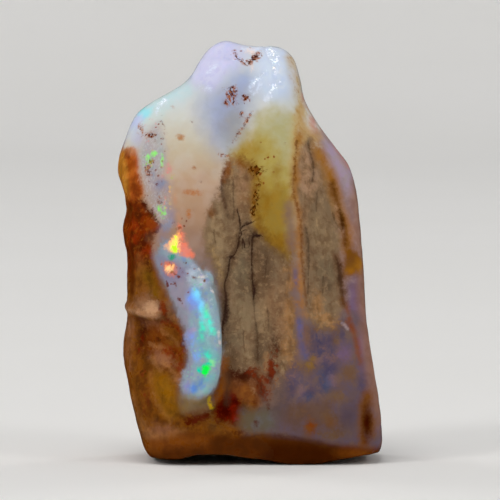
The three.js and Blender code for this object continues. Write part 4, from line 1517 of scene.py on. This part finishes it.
# %% Cracks
coat(
    "crack_shadows", "442C1A",
    [stroke([(-1.1, 24.8), (-1.3, 23.4), (-2.1, 22.1), (-2.5, 20.4), (-2.65, 18.0), (-2.6, 15.0),
             (-2.7, 12.6)], 0.3), stroke([(0.45, 24.8), (0.4, 21.0), (0.65, 18.6), (0.5, 17.6)], 0.22),
     stroke([(-1.1, 25.6), (-0.3, 26.0)], 0.15), stroke([(0.8, 14.8), (0.9, 11.0)], 0.14)],
    soft=1.1, waves=0.2, grit=0.25, cover=0.75,
)
coat(
    "cracks", "2E1A12 3A2318", half=0.085, soft=0.14, waves=0.03, grit=0.05, cover=0.9,
    lines=[
        hairline([(-1.3, 27.3), (-1.1, 26.6), (-1.0, 25.4), (-1.1, 24.8), (-1.2, 23.6), (-1.6, 22.6),
                  (-2.2, 22.0), (-2.4, 20.6), (-2.7, 19.3), (-2.5, 18.0), (-2.5, 16.0), (-2.6, 14.0)]),
        hairline([(-1.0, 25.5), (-0.4, 25.8), (0.3, 26.1)]),
        hairline([(-0.9, 25.0), (-0.7, 24.2), (-0.5, 23.5)]),
        hairline([(1.1, 24.6), (0.5, 24.6), (0.3, 24.2), (0.3, 23.2), (0.3, 21.4), (0.4, 19.4),
                  (0.6, 18.8), (0.5, 18.0)]),
    ],
)
coat(
    "crack_fillings", "301A12 3C241A",
    [stroke([(-0.9, 25.6), (-0.3, 25.9), (0.2, 26.1)], 0.1), stroke([(0.4, 24.7), (1.0, 24.6)], 0.12),
     spot(-1.9, 22.2, 0.4, 0.2), spot(-2.5, 17.6, 0.14, 0.5), spot(0.55, 18.6, 0.14, 0.45),
     stroke([(-2.4, 17.6), (-2.4, 15.0)], 0.12)],
    soft=0.4, waves=0.1, grit=0.14, cover=0.8,
)
coat(
    "edge_crack", "301A10 44281A",
    [stroke([(-2.75, 31.8), (-3.0, 30.8), (-3.05, 29.8), (-2.9, 28.8), (-2.6, 27.6), (-2.35, 26.7)],
            0.09)],
    soft=0.5, waves=0.05, grit=0.05, cover=0.9,
)

# %% Faint cracks
coat(
    "faint_cracks", "3E2A1C 48321F", half=0.06, soft=0.22, waves=0.05, grit=0.09, cover=0.55,
    lines=[
        hairline([(0.5, 18.0), (0.6, 15.6), (0.9, 13.6), (0.9, 11.0)]),
        hairline([(-0.7, 14.0), (-0.6, 12.2)]), hairline([(2.6, 13.4), (2.9, 12.6), (3.2, 12.0)]),
        hairline([(3.5, 10.8), (3.9, 9.9)]), hairline([(-2.6, 14.0), (-2.7, 12.0)]),
        hairline([(6.6, 34.8), (6.9, 33.6), (7.2, 32.2), (7.1, 30.6)]),
        hairline([(6.3, 25.6), (6.6, 24.4), (6.7, 22.4), (6.6, 20.6), (6.5, 18.4)]),
        hairline([(9.3, 27.0), (9.6, 26.0), (10.0, 25.4)]),
        hairline([(9.6, 22.4), (9.8, 21.4), (10.0, 19.6), (10.3, 18.2)]),
        hairline([(8.2, 20.0), (8.2, 18.4)]),
        hairline([(-1.8, 30.6), (-1.8, 28.6), (-1.7, 27.6), (-1.72, 26.4)]),
        hairline([(2.0, 16.4), (2.1, 14.4)]), hairline([(7.6, 29.4), (7.5, 27.4)]),
        hairline([(1.9, 22.0), (1.7, 20.2)]), hairline([(-3.9, 25.0), (-3.8, 24.0)]),
    ],
)
coat(
    "soft_cracks", "443022 4C3624",
    [stroke([(6.6, 34.8), (6.9, 33.6), (7.2, 32.2), (7.1, 30.6)], 0.1),
     stroke([(6.3, 25.4), (6.6, 22.8), (6.3, 20.0)], 0.1),
     stroke([(9.7, 22.0), (10.0, 19.6), (10.3, 18.2)], 0.14),
     stroke([(-2.4, 9.4), (-2.4, 7.6), (-2.5, 6.2)], 0.25), stroke([(2.6, 13.4), (3.1, 12.2)], 0.1)],
    waves=0.2, grit=0.2, cover=0.6,
)

# %% [markdown]
# ## The back and the flanks
# The photograph doesn't show these. The wood must come out somewhere, so a third splinter runs up the
# back. The ochre of the left column wraps round its flank, lilac lies over the right one, and there is
# a small vein of blue and green opal. All of it is drawn in the same way, with other colours of the
# same stone.

# %% Ochre, honey and lilac on the back
RIGHT_RIM = (7, BEYOND)  # mm through the stone: these marks keep to the last of the right side
coat(
    "back_honey", "B19A58 A98F50",
    [area([(-8.0, 36.0), (-4.0, 38.4), (-0.6, 36.0), (-1.0, 31.0), (-3.4, 27.6), (-6.4, 28.6),
           (-8.8, 31.8)], "back"),
     area([(2.4, 34.8), (5.6, 36.8), (7.4, 31.0), (5.4, 27.8), (2.6, 30.4)], "right", RIGHT_RIM)],
    soft=1.8, waves=0.9, grit=0.2, cover=0.85,
)
coat(
    "flank_ochre", "845212 7C4A14",
    [area([(-17, 27.6), (-11.8, 29.8), (-9.4, 27.0), (-8.4, 21.8), (-9.8, 16.0), (-7.4, 11.0),
           (-3.6, 8.6), (-1.6, 5.0), (0.4, 2.0), (-17, 1.0)], "back", (3, BEYOND))],
    soft=1.2, waves=0.9, grit=0.3, cover=0.95,
)
coat(
    "flank_rust", "742E06 803A0C",
    [area([(2.0, 27.0), (3.4, 29.2), (5.4, 26.8), (6.4, 22.6), (4.4, 19.2), (2.2, 21.4)], "left"),
     area([(-12.0, 14.6), (-9.0, 15.4), (-7.6, 12.4), (-9.0, 9.2), (-11.8, 9.6)], "back", (3, BEYOND)),
     spot(7.0, 12.0, 1.4, 2.0, "left")],
    soft=0.9, waves=0.6, grit=0.5, cover=0.8,
)
coat(
    "back_lilac", "6B5E76 716070",
    [area([(3.6, 17.6), (7.4, 19.2), (12.0, 17.0), (17, 15), (17, 2.4), (9.0, 3.6), (4.0, 3.4),
           (2.0, 8.0)], "back", (3.5, BEYOND)),
     area([(-4.8, 25.4), (-2.4, 26.6), (-1.8, 21.6), (-3.6, 17.6), (-6.6, 19.2)], "back")],
    soft=1.6, waves=0.9, grit=0.3, cover=0.85,
)
coat("back_tan_clouds", "8A6A4E 80624A", on="back_lilac", soft=1.6, cover=0.7, pattern="clouds")

# %% Clouds on the flanks
coat(
    "left_flank", "7A4414 6E380C",
    [area([(-1.6, 27.0), (1.6, 28.2), (5.6, 27.4), (4.6, 23.4), (6.8, 20.0), (5.2, 15.6), (7.4, 11.0),
           (5.0, 6.6), (6.4, 1.0), (2.6, 1.0), (-1.2, 3.0), (1.6, 6.4), (-2.4, 10.0), (-1.0, 13.4),
           (2.4, 15.4), (1.8, 18.4), (-1.2, 21.0), (1.4, 24.0)], "left")],
    soft=2.4, waves=1.4, grit=0.6, cover=0.9,
)
coat(
    "right_flank", "7A6258 6C5A66",
    [area([(2.4, 30.0), (4.2, 29.0), (3.6, 26.0), (6.2, 24.0), (4.8, 20.0), (6.8, 16.0), (4.8, 12.0),
           (6.2, 7.4), (4.2, 3.2), (-0.6, 2.8), (-4.2, 5.6), (-1.4, 8.6), (-3.6, 12.4), (0.6, 15.4),
           (2.6, 17.6), (1.8, 20.4), (2.8, 24.2)], "right")],
    soft=2.6, waves=1.4, grit=0.5, cover=0.9,
)
coat(
    "right_flank_blue", "545272 5C587A",
    [spot(-2.6, 9.4, 1.4, 2.6, "right"), spot(1.2, 5.4, 1.8, 1.4, "right"),
     spot(4.6, 14.4, 0.9, 2.4, "right"), spot(-5.2, 4.6, 0.9, 1.4, "right")],
    soft=2.2, waves=1.2, grit=0.6, cover=0.75, pattern="clouds",
)
coat(
    "flank_tan", "A07A50 94683C",
    [spot(3.4, 6.4, 1.8, 2.0, "left"), spot(2.6, 20.4, 1.2, 2.6, "left"),
     spot(-3.0, 12.4, 1.4, 1.6, "left"), spot(3.2, 21.0, 1.4, 2.4, "right"),
     spot(-1.0, 13.2, 1.4, 1.8, "right"), spot(3.0, 9.0, 1.2, 1.8, "right")],
    soft=2.4, waves=1.4, grit=0.6, cover=0.7, pattern="blotches",
)

# %% Wood on the back
BACK_WOOD = [
    (1.2, 33.6), (3.2, 34.6), (4.6, 31.6), (5.4, 27.0), (5.0, 22.4), (5.8, 17.6), (5.2, 12.2),
    (3.4, 8.4), (1.2, 9.2), (0.4, 13.4), (0.8, 18.0), (-0.4, 23.0), (0.2, 28.6),
]
coat(
    "back_wood", "7D664A 886C4E",
    [area(BACK_WOOD, "back"),
     area([(2.2, 20.0), (3.4, 21.6), (5.2, 18.4), (6.0, 12.0), (4.8, 7.4), (3.2, 8.6), (2.4, 14.0)],
          "right", RIGHT_RIM)],
    soft=0.6, waves=0.4, grit=0.25,
)
coat("back_wood_mottle", "A1825F 96785A", on="back_wood", cover=0.5, pattern="clouds")
coat("back_wood_grain", "4C3826", on="back_wood", soft=0.6, cover=0.55, pattern="grain")
coat(
    "back_stains", "7A4610 6A3A0C",
    [stroke([(1.0, 33.8), (0.0, 29.0), (-0.5, 24.0), (0.5, 18.6)], 0.4, "back"),
     stroke([(5.0, 30.4), (5.6, 26.2), (5.2, 21.6)], 0.3, "back"),
     stroke([(4.0, 8.4), (2.4, 7.2), (0.6, 8.4)], 0.5, "back")],
    waves=0.4, grit=0.4, cover=0.8,
)
coat(
    "back_cracks", "3A261A 44301F", half=0.08, soft=0.16, waves=0.05, grit=0.06, cover=0.85,
    lines=[
        hairline([(2.2, 32.6), (1.8, 29.6), (2.4, 26.6), (2.0, 23.4), (2.8, 20.0), (2.4, 15.4)],
                 "back"),
        hairline([(2.4, 26.4), (3.4, 24.6), (3.6, 21.6)], "back"),
        hairline([(3.8, 17.0), (3.6, 13.0), (3.0, 10.4)], "back"),
        hairline([(3.8, 17.4), (4.1, 13.6), (3.8, 10.2)], "right", RIGHT_RIM),
        hairline([(3.0, 24.6), (4.2, 23.4), (5.0, 20.8)], "left"),
    ],
)

# %% Fire and grains on the back
coat(
    "back_vein", "8FB2BC 99A8B8",
    [area([(-6.6, 24.2), (-5.0, 23.4), (-4.4, 19.4), (-5.2, 15.0), (-6.6, 13.4), (-7.6, 16.6),
           (-7.4, 20.6)], "back")],
    soft=1.0, waves=0.5, grit=0.15, cover=0.9,
)
coat(
    "back_fire_green", "5CE08C 74DCB0",
    [spot(-5.6, 20.8, 0.5, 0.7, "back"), spot(-6.4, 15.8, 0.4, 0.6, "back")],
    soft=0.5, cover=0.9, pattern="facets", glow=0.25,
)
coat(
    "back_fire_blue", "70A4F0 8C90E0",
    [spot(-6.2, 18.2, 0.7, 0.9, "back"), spot(-5.2, 22.6, 0.4, 0.6, "back")],
    cover=0.8, pattern="facets", glow=0.2,
)
coat(
    "back_grains", "6A2C0E 7A3810",
    [spot(-2.6, 40.6, 1.2, 0.8, "back"), spot(3.2, 39.0, 0.8, 1.4, "back"),
     spot(-9.0, 31.6, 1.0, 1.6, "back"), spot(8.2, 24.6, 0.8, 1.8, "back"),
     spot(-4.0, 24.6, 1.4, 0.7, "back"), spot(9.4, 12.0, 1.2, 1.0, "back"),
     spot(2.8, 38.4, 0.9, 1.4, "right"), spot(3.4, 33.6, 0.9, 1.4, "left"),
     spot(4.0, 25.0, 0.9, 1.6, "right")],
    soft=0.9, waves=0.5, cover=0.85, pattern="specks",
)

# %% [markdown]
# ## Relief
# Polishing rounds a stone but doesn't level it. Hard opal stays proud, soft wood wears down, and
# cracks and pin holes stay open. Each of these could be a bump in the material, but then it would be
# missing from the outline and from the mesh. So each is a vertex group that says where, and a
# Displace modifier that says how far, applied one after the other.

# %% Helpers for relief
CLEAR_OF_FLOOR = (0.3, 1.5)  # mm: below the first nothing is moved, so the stone stands as before
LEAST_WEIGHT = 0.004


def ease(value, low, high):
    """0 below low and 1 above high, with a smooth start and end."""
    share = np.clip((value - low) / (high - low), 0, 1)
    return share * share * (3 - 2 * share)


def shift(name, height, weights, texture=None):
    """Moves the surface out by height in mm, or in if it is below zero, by each point's weight."""
    weights = weights * ease(z, *CLEAR_OF_FLOOR)
    group = stone.vertex_groups.new(name=name)
    moved = np.flatnonzero(weights > LEAST_WEIGHT)
    for i in moved:
        group.add([int(i)], float(weights[i]), "REPLACE")
    push = stone.modifiers.new(name, "DISPLACE")
    push.vertex_group = name
    push.strength = height * MM
    push.mid_level = 0.0
    if texture:
        push.texture = texture
        push.texture_coords = "LOCAL"
        push.mid_level = 0.5
    bpy.ops.object.modifier_apply(modifier=push.name)
    stone.vertex_groups.remove(stone.vertex_groups[name])
    print(f"{name}: {height:+.2f} mm on {len(moved)} points")


def clouds(name, size):
    """A texture of soft clouds, its size in mm."""
    texture = bpy.data.textures.new(name, "CLOUDS")
    texture.noise_scale = size * MM
    texture.noise_depth = 2
    return texture


# %% Relief of the face
LENS_RISES = (-7.5, -4.5)  # mm across: the lens comes out of the left column between these
KNOB_STEP_TOP = 44  # mm above the floor

lens = places["lens"]
steep = ease(seen_x, *LENS_RISES) * (y < 0)
shift("lens_brow", 0.32, (1 - ease(np.abs(lens + 0.7), 0.1, 1.0)) * steep)
shift("lens_moat", -0.34, (1 - ease(np.abs(lens - 0.35), 0.05, 0.7)) * steep)
knob = places["lavender_knob"]
shift("knob_step", 0.16, (1 - ease(knob, -0.5, 0.15)) * (seen_z < KNOB_STEP_TOP) * (y < 0))
wood = np.minimum(places["wood_shade"], places["back_wood"])
shift("wood_wear", -0.16, 1 - ease(wood, -0.6, 0.3))
dark_cracks = np.minimum(places["cracks"], places["back_cracks"])
shift("open_cracks", -0.18, 1 - ease(dark_cracks, 0.05, 0.32))
shift("closed_cracks", -0.08, 1 - ease(places["faint_cracks"], 0.05, 0.35))
shift("pocket_depth", -0.5, 1 - ease(places["pocket"], -0.7, 0.5))
fold = stroke([(-13.6, 16.9), (-12.4, 16.4), (-11.0, 16.1), (-9.7, 16.1)], 0.0)
shift("fold_crest", 0.3, 1 - ease(fold, 0.0, 0.8))
shift("rust_wear", -0.14, 1 - ease(places["rust_dark"], -0.2, 0.4))
shift("grain_pits", -0.1, 1 - ease(places["grains"], -0.1, 0.2))
ledge = stroke([(-1.0, 2.8), (3.0, 2.8), (5.4, 2.5), (8.0, 2.0), (12.0, 1.6)], 0.0)
shift("ledge_edge", 0.1, 1 - ease(ledge, 0.0, 0.5))

# %% Chips and unevenness
chips = np.min(
    [
        spots([(2.1, 44.7), (2.5, 44.1), (2.9, 43.2), (2.7, 42.6), (2.7, 41.2), (3.4, 41.3), (3.0, 42.0),
               (1.7, 45.1)], 0.22),
        stroke([(1.9, 45.0), (2.6, 44.0), (3.0, 42.8)], 0.1),
        stroke([(0.3, 41.3), (1.0, 42.2), (2.1, 42.7)], 0.08),
    ],
    axis=0,
)
shift("chips", -0.13, 1 - ease(chips, -0.05, 0.25))
everywhere = np.ones(len(z))
shift("slow_waves", 0.22, everywhere, clouds("slow_waves", 4.0))
shift("ripples", 0.07, everywhere, clouds("ripples", 1.3))
rough = 1 - ease(np.minimum(places["ochre"], places["flank_ochre"]), -0.5, 0.5)
shift("ochre_lumps", 0.12, rough, clouds("ochre_lumps", 1.7))
shift("wood_unevenness", 0.12, 1 - ease(wood, -0.4, 0.2), clouds("wood_unevenness", 0.8))

# %% [markdown]
# ## The material
# Opal is hydrated silica: glassy, with an IOR of 1.45, and milky because light wanders about in it
# before it comes out again. That wandering is subsurface scattering, strong in the clear opal and
# weak in the wood. The base colour starts as a ramp by height, and then each coat is laid over it in
# turn by one loop. All patterns run on object coordinates, so they go through the stone as real
# veins do, and no seam shows anywhere.

# %% Coordinates of the patterns
WANDER = {"length": 0.9, "reach": 0.5}  # mm

stone_material = bpy.data.materials.new("polished_opal")
stone_material.use_nodes = True
tree = stone_material.node_tree
place = add(tree, "ShaderNodeTexCoord").outputs["Object"]

# Nothing that is drawn on the wandering coordinates is quite even.
wander = add(
    tree, "ShaderNodeTexNoise", {"Vector": place, "Scale": 1 / (WANDER["length"] * MM), "Detail": 1}
)
warped = add(
    tree,
    "ShaderNodeVectorMath",
    {0: wander.outputs["Color"], 1: (WANDER["reach"] * MM,) * 3, 2: place},
    operation="MULTIPLY_ADD",
).outputs[0]
print("coordinates: they wander by", WANDER["reach"], "mm")

# %% [markdown]
# Two noises carry the coats' edges about. A noise mostly keeps to the middle half of its range, so
# four times its swing takes it from -1 to 1.

# %% Waves and grit
SWING = 4.0
CARRIERS = {"waves": {"size": 1.6, "rough": 0.55}, "grit": {"size": 0.35, "rough": 0.7}}  # sizes in mm

carry = {}
for name, kind in CARRIERS.items():
    texture = add(
        tree,
        "ShaderNodeTexNoise",
        {"Vector": warped, "Scale": 1 / (kind["size"] * MM), "Detail": 2, "Roughness": kind["rough"]},
    )
    carry[name] = add(
        tree,
        "ShaderNodeMath",
        {0: texture.outputs["Fac"], 1: SWING, 2: -SWING / 2},
        operation="MULTIPLY_ADD",
    ).outputs[0]
print("carriers:", ", ".join(carry))

# %% [markdown]
# The patterns that thin the coats out. The soft ones are noises with features of a size in
# millimetres, which grow in between two values. Some are drawn out along the stone by so many times
# their size, as grain is, or at a tilt in degrees. Crumbs are as small as the picture can show.

# %% Soft patterns
NOISES = {
    "clouding": {"size": 1.1, "grows": (0.36, 0.64), "wanders": True},
    "clouds": {"size": 2.4, "detail": 2, "grows": (0.44, 0.62)},
    "other_clouds": {"size": 1.9, "grows": (0.46, 0.62), "long": 1.4, "tilt": 20},
    "fine_clouds": {"size": 0.6, "rough": 0.7, "grows": (0.5, 0.68)},
    "blotches": {"size": 1.1, "rough": 0.6, "grows": (0.42, 0.68), "wanders": True},
    "mottle": {"size": 0.55, "rough": 0.6, "grows": (0.44, 0.62), "wanders": True},
    "grain": {"size": 0.38, "rough": 0.65, "grows": (0.48, 0.68), "long": 7, "wanders": True},
    "flow": {"size": 0.8, "rough": 0.6, "grows": (0.48, 0.64), "long": 6, "tilt": 28, "wanders": True},
    "crumbs": {"size": 0.22, "detail": 1, "rough": 0.5, "grows": (0.52, 0.6), "long": 1.3, "tilt": 25},
    "other_crumbs": {
        "size": 0.3, "detail": 1, "rough": 0.5, "grows": (0.44, 0.54), "long": 1.2, "tilt": -30,
    },
}
PATTERNS = {}
for name, kind in NOISES.items():
    vector = warped if "wanders" in kind else place
    if "long" in kind:
        turned = (0, math.radians(kind.get("tilt", 0)), 0)
        vector = add(
            tree,
            "ShaderNodeMapping",
            {"Vector": vector, "Rotation": turned, "Scale": (1, 1, 1 / kind["long"])},
        ).outputs["Vector"]
    texture = add(
        tree,
        "ShaderNodeTexNoise",
        {
            "Vector": vector,
            "Scale": 1 / (kind["size"] * MM),
            "Detail": kind.get("detail", 3),
            "Roughness": kind.get("rough", 0.55),
        },
    )
    PATTERNS[name] = add(
        tree,
        "ShaderNodeMapRange",
        {"Value": texture.outputs["Fac"], "From Min": kind["grows"][0], "From Max": kind["grows"][1]},
        interpolation_type="SMOOTHSTEP",
    ).outputs["Result"]
clouding = PATTERNS["clouding"]
print("soft patterns:", ", ".join(PATTERNS))

# %% [markdown]
# Grains and facets come from cell patterns. Each cell has a colour by chance. Its red says whether
# the cell holds a grain, and its green says how bright the facet is.

# %% Grains and facets
CELLS = {"small": 0.36, "large": 0.5}  # mm
GRAIN = (0.5, 0.3)  # of a cell's size: where a grain ends, and where it is full
GRAINS = {
    "specks": {"cells": "small", "filled": 0.5},
    "sparse_specks": {"cells": "small", "filled": 0.07},
    "flecks": {"cells": "small", "filled": 0.4},
    "other_flecks": {"cells": "large", "filled": 0.4},
}
FACETS = {"cells": "large", "full_from": 0.7, "least": 0.5}

cells, chances = {}, {}
for name, size in CELLS.items():
    cells[name] = add(tree, "ShaderNodeTexVoronoi", {"Vector": warped, "Scale": 1 / (size * MM)})
    chances[name] = add(tree, "ShaderNodeSeparateColor", {"Color": cells[name].outputs["Color"]})
for name, kind in GRAINS.items():
    grain = add(
        tree,
        "ShaderNodeMapRange",
        {"Value": cells[kind["cells"]].outputs["Distance"], "From Min": GRAIN[0], "From Max": GRAIN[1]},
        interpolation_type="SMOOTHSTEP",
    ).outputs["Result"]
    chance = chances[kind["cells"]].outputs["Red"]
    filled = add(tree, "ShaderNodeMath", {0: chance, 1: kind["filled"]}, operation="LESS_THAN")
    PATTERNS[name] = add(
        tree, "ShaderNodeMath", {0: grain, 1: filled.outputs[0]}, operation="MULTIPLY"
    ).outputs[0]
PATTERNS["facets"] = add(
    tree,
    "ShaderNodeMapRange",
    {
        "Value": chances[FACETS["cells"]].outputs["Green"],
        "From Max": FACETS["full_from"],
        "To Min": FACETS["least"],
    },
    interpolation_type="SMOOTHSTEP",
).outputs["Result"]
print("patterns of cells:", ", ".join(GRAINS), "and facets")

# %% [markdown]
# The slow change of colour from the top of the stone to its foot. Where no coat lies over it, this
# is what shows. It grows darker towards the foot, partly from the stone's own amber and partly as
# painted shade. Waves bend its levels, and faint milky clouds thicken towards the top.

# %% Ground colour
# Darker towards the foot: partly the stone's own amber, partly painted shade.
GROUND_AND_SHADE = [
    (1.5, "5E3612"), (4.0, "6A4628"), (9.0, "6C544E"), (15.0, "756462"), (20.0, "84706A"),
    (24.0, "9A7C6A"), (27.5, "AE8E74"), (31.0, "BCA086"), (34.5, "C2B6A0"), (38.0, "CACAC2"),
    (42.0, "C6CCD2"), (46.0, "C8CCDA"),
]  # mm above the floor
BEND = 0.8  # mm
MILK = {"colour": "D6DAE2", "share": 0.1, "from": 10, "full": 36}  # mm above the floor

height = add(tree, "ShaderNodeSeparateXYZ", {"Vector": place}).outputs["Z"]
bent = add(
    tree, "ShaderNodeMath", {0: carry["waves"], 1: BEND * MM, 2: height}, operation="MULTIPLY_ADD"
).outputs[0]
level = add(tree, "ShaderNodeMapRange", {"Value": bent, "From Max": GROUND_AND_SHADE[-1][0] * MM}).outputs["Result"]
ramp = add(tree, "ShaderNodeValToRGB", {"Fac": level})
stops = ramp.color_ramp.elements
while len(stops) < len(GROUND_AND_SHADE):
    stops.new(0.5)
for stop, (at_height, code) in zip(stops, GROUND_AND_SHADE):
    stop.position = at_height / GROUND_AND_SHADE[-1][0]
    stop.color = colour(code)
ground = ramp.outputs["Color"]

milk = add(
    tree, "ShaderNodeMath", {0: PATTERNS["clouds"], 1: MILK["share"]}, operation="MULTIPLY"
).outputs[0]
milky = add(
    tree, "ShaderNodeMix", {0: milk, 6: ground, 7: colour(MILK["colour"])}, data_type="RGBA"
).outputs[2]
upper = add(
    tree,
    "ShaderNodeMapRange",
    {"Value": height, "From Min": MILK["from"] * MM, "From Max": MILK["full"] * MM},
    interpolation_type="SMOOTHSTEP",
).outputs["Result"]
surface = add(tree, "ShaderNodeMix", {0: upper, 6: ground, 7: milky}, data_type="RGBA").outputs[2]
print("ground:", len(GROUND_AND_SHADE), "colours")

# %% [markdown]
# Now the coats. For each one the distance to its marks is read from the mesh, carried about by the
# waves and the grit, and turned into how much the coat covers. A hairline is thinner than the mesh is
# fine. A distance that changes its sign from one side of the line to the other runs straight through
# it, so the line stays thin, but far from the line that sign jumps about, so the line ends there.

# %% How much a coat covers
CLEAR_OF_LINE = (0.3, 0.5)  # mm: a hairline fades out here, so that two of them don't meet halfway
edges = {}


def line_edge(layer, gap):
    """The distance from the edge of a hairline, and how near the line is at all."""
    near = add(
        tree,
        "ShaderNodeMapRange",
        {
            "Value": gap,
            "From Min": CLEAR_OF_LINE[0],
            "From Max": CLEAR_OF_LINE[1],
            "To Min": 1.0,
            "To Max": 0.0,
        },
        interpolation_type="SMOOTHSTEP",
    ).outputs["Result"]
    side = add(tree, "ShaderNodeAttribute", attribute_name=layer["place"] + "_side").outputs["Fac"]
    off_line = add(tree, "ShaderNodeMath", {0: side}, operation="ABSOLUTE").outputs[0]
    edge = add(tree, "ShaderNodeMath", {0: off_line, 1: layer["half"]}, operation="SUBTRACT")
    return edge.outputs[0], near


def covered(layer):
    """How much a coat hides of what lies under it."""
    held = layer["place"]
    if held not in edges:
        edges[held] = add(tree, "ShaderNodeAttribute", attribute_name=held).outputs["Fac"]
    edge = edges[held]
    thinning = [PATTERNS[layer["pattern"]]] if layer["pattern"] else []
    if layer["half"]:
        edge, near = line_edge(layer, edge)
        thinning.append(near)
    for name, carrier in carry.items():
        edge = add(
            tree, "ShaderNodeMath", {0: carrier, 1: layer[name], 2: edge}, operation="MULTIPLY_ADD"
        ).outputs[0]
    cover = add(
        tree,
        "ShaderNodeMapRange",
        {
            "Value": edge,
            "From Min": -layer["soft"] / 2,
            "From Max": layer["soft"] / 2,
            "To Min": layer["cover"],
            "To Max": 0.0,
        },
        interpolation_type="SMOOTHSTEP",
    ).outputs["Result"]
    for share in thinning:
        cover = add(tree, "ShaderNodeMath", {0: cover, 1: share}, operation="MULTIPLY").outputs[0]
    return cover


# %% [markdown]
# Each coat's colour is laid over the last. The wood and the ochre also make the polish duller, each
# by its own share, and the coats of fire hide each other's glow as they hide each other's colour.

# %% Lay the coats
DULL = {"wood": 1.0, "back_wood": 1.0, "ochre": 0.6}

dull = 0.0
glow = colour("000000")
for layer in COATS:
    cover = covered(layer)
    shades = [colour(code) for code in layer["shades"]]
    tint = shades[0]
    if len(shades) > 1:
        tint = add(
            tree, "ShaderNodeMix", {0: clouding, 6: shades[0], 7: shades[1]}, data_type="RGBA"
        ).outputs[2]
    surface = add(tree, "ShaderNodeMix", {0: cover, 6: surface, 7: tint}, data_type="RGBA").outputs[2]
    if layer["name"] in DULL:
        part = add(tree, "ShaderNodeMath", {0: cover, 1: DULL[layer["name"]]}, operation="MULTIPLY")
        dull = add(tree, "ShaderNodeMath", {0: dull, 1: part.outputs[0]}, operation="MAXIMUM").outputs[0]
    if layer["glow"]:
        light = colour(layer["shades"][0], layer["glow"])
        glow = add(tree, "ShaderNodeMix", {0: cover, 6: glow, 7: light}, data_type="RGBA").outputs[2]
print("coats:", len(COATS))

# %% [markdown]
# The polish is bright on the opal and duller on the wood. The specular level is low, because in a
# dark studio a polished stone mirrors little beyond its lamps. A fine bump stands for the scratches
# of the polishing wheel, which are too small for the mesh.

# %% Finish
ROUGHNESS = {"opal": 0.12, "clouds_add": 0.1, "wood_adds": 0.25}
SCATTER = {"reach": 1.6, "by_colour": (1.0, 0.75, 0.6), "in_wood": 0.35}  # the reach in mm
SCRATCHES = {"size": 0.3, "deep": 0.03, "strength": 0.25}  # mm, mm and a share

shader = tree.nodes["Principled BSDF"]
shader.inputs["IOR"].default_value = 1.45
shader.inputs["Specular IOR Level"].default_value = 0.08
shader.inputs["Subsurface Scale"].default_value = SCATTER["reach"] * MM
shader.inputs["Subsurface Radius"].default_value = SCATTER["by_colour"]
shader.inputs["Emission Strength"].default_value = 1.0
tree.links.new(surface, shader.inputs["Base Color"])
tree.links.new(glow, shader.inputs["Emission Color"])
scatter = add(
    tree,
    "ShaderNodeMapRange",
    {"Value": dull, "To Min": 1.0, "To Max": SCATTER["in_wood"]},
    interpolation_type="SMOOTHSTEP",
)
tree.links.new(scatter.outputs["Result"], shader.inputs["Subsurface Weight"])
polish = add(
    tree,
    "ShaderNodeMath",
    {0: clouding, 1: ROUGHNESS["clouds_add"], 2: ROUGHNESS["opal"]},
    operation="MULTIPLY_ADD",
)
roughness = add(
    tree,
    "ShaderNodeMath",
    {0: dull, 1: ROUGHNESS["wood_adds"], 2: polish.outputs[0]},
    operation="MULTIPLY_ADD",
)
tree.links.new(roughness.outputs[0], shader.inputs["Roughness"])
scratches = add(
    tree,
    "ShaderNodeTexNoise",
    {"Vector": place, "Scale": 1 / (SCRATCHES["size"] * MM), "Detail": 2, "Roughness": 0.7},
)
bump = add(
    tree,
    "ShaderNodeBump",
    {
        "Height": scratches.outputs["Fac"],
        "Strength": SCRATCHES["strength"],
        "Distance": SCRATCHES["deep"] * MM,
    },
)
tree.links.new(bump.outputs["Normal"], shader.inputs["Normal"])

# The glow is too dim to light anything else, so the stone isn't sampled as a lamp. That saves time.
stone_material.cycles.emission_sampling = "NONE"
stone.data.materials.append(stone_material)
print("finish:", len(tree.nodes), "nodes")

# %% [markdown]
# ## Hand over
# The stone rides on the part's one body and stands for its solid. Its size is written beside the
# solid's, to compare the two.

# %% Finish the scene
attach(stone, "root")
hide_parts("fire_opal")
seen_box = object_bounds()
sides = [round(v / MM, 2) for v in seen_box[1] - seen_box[0]]
print("stone:", sides, "mm")
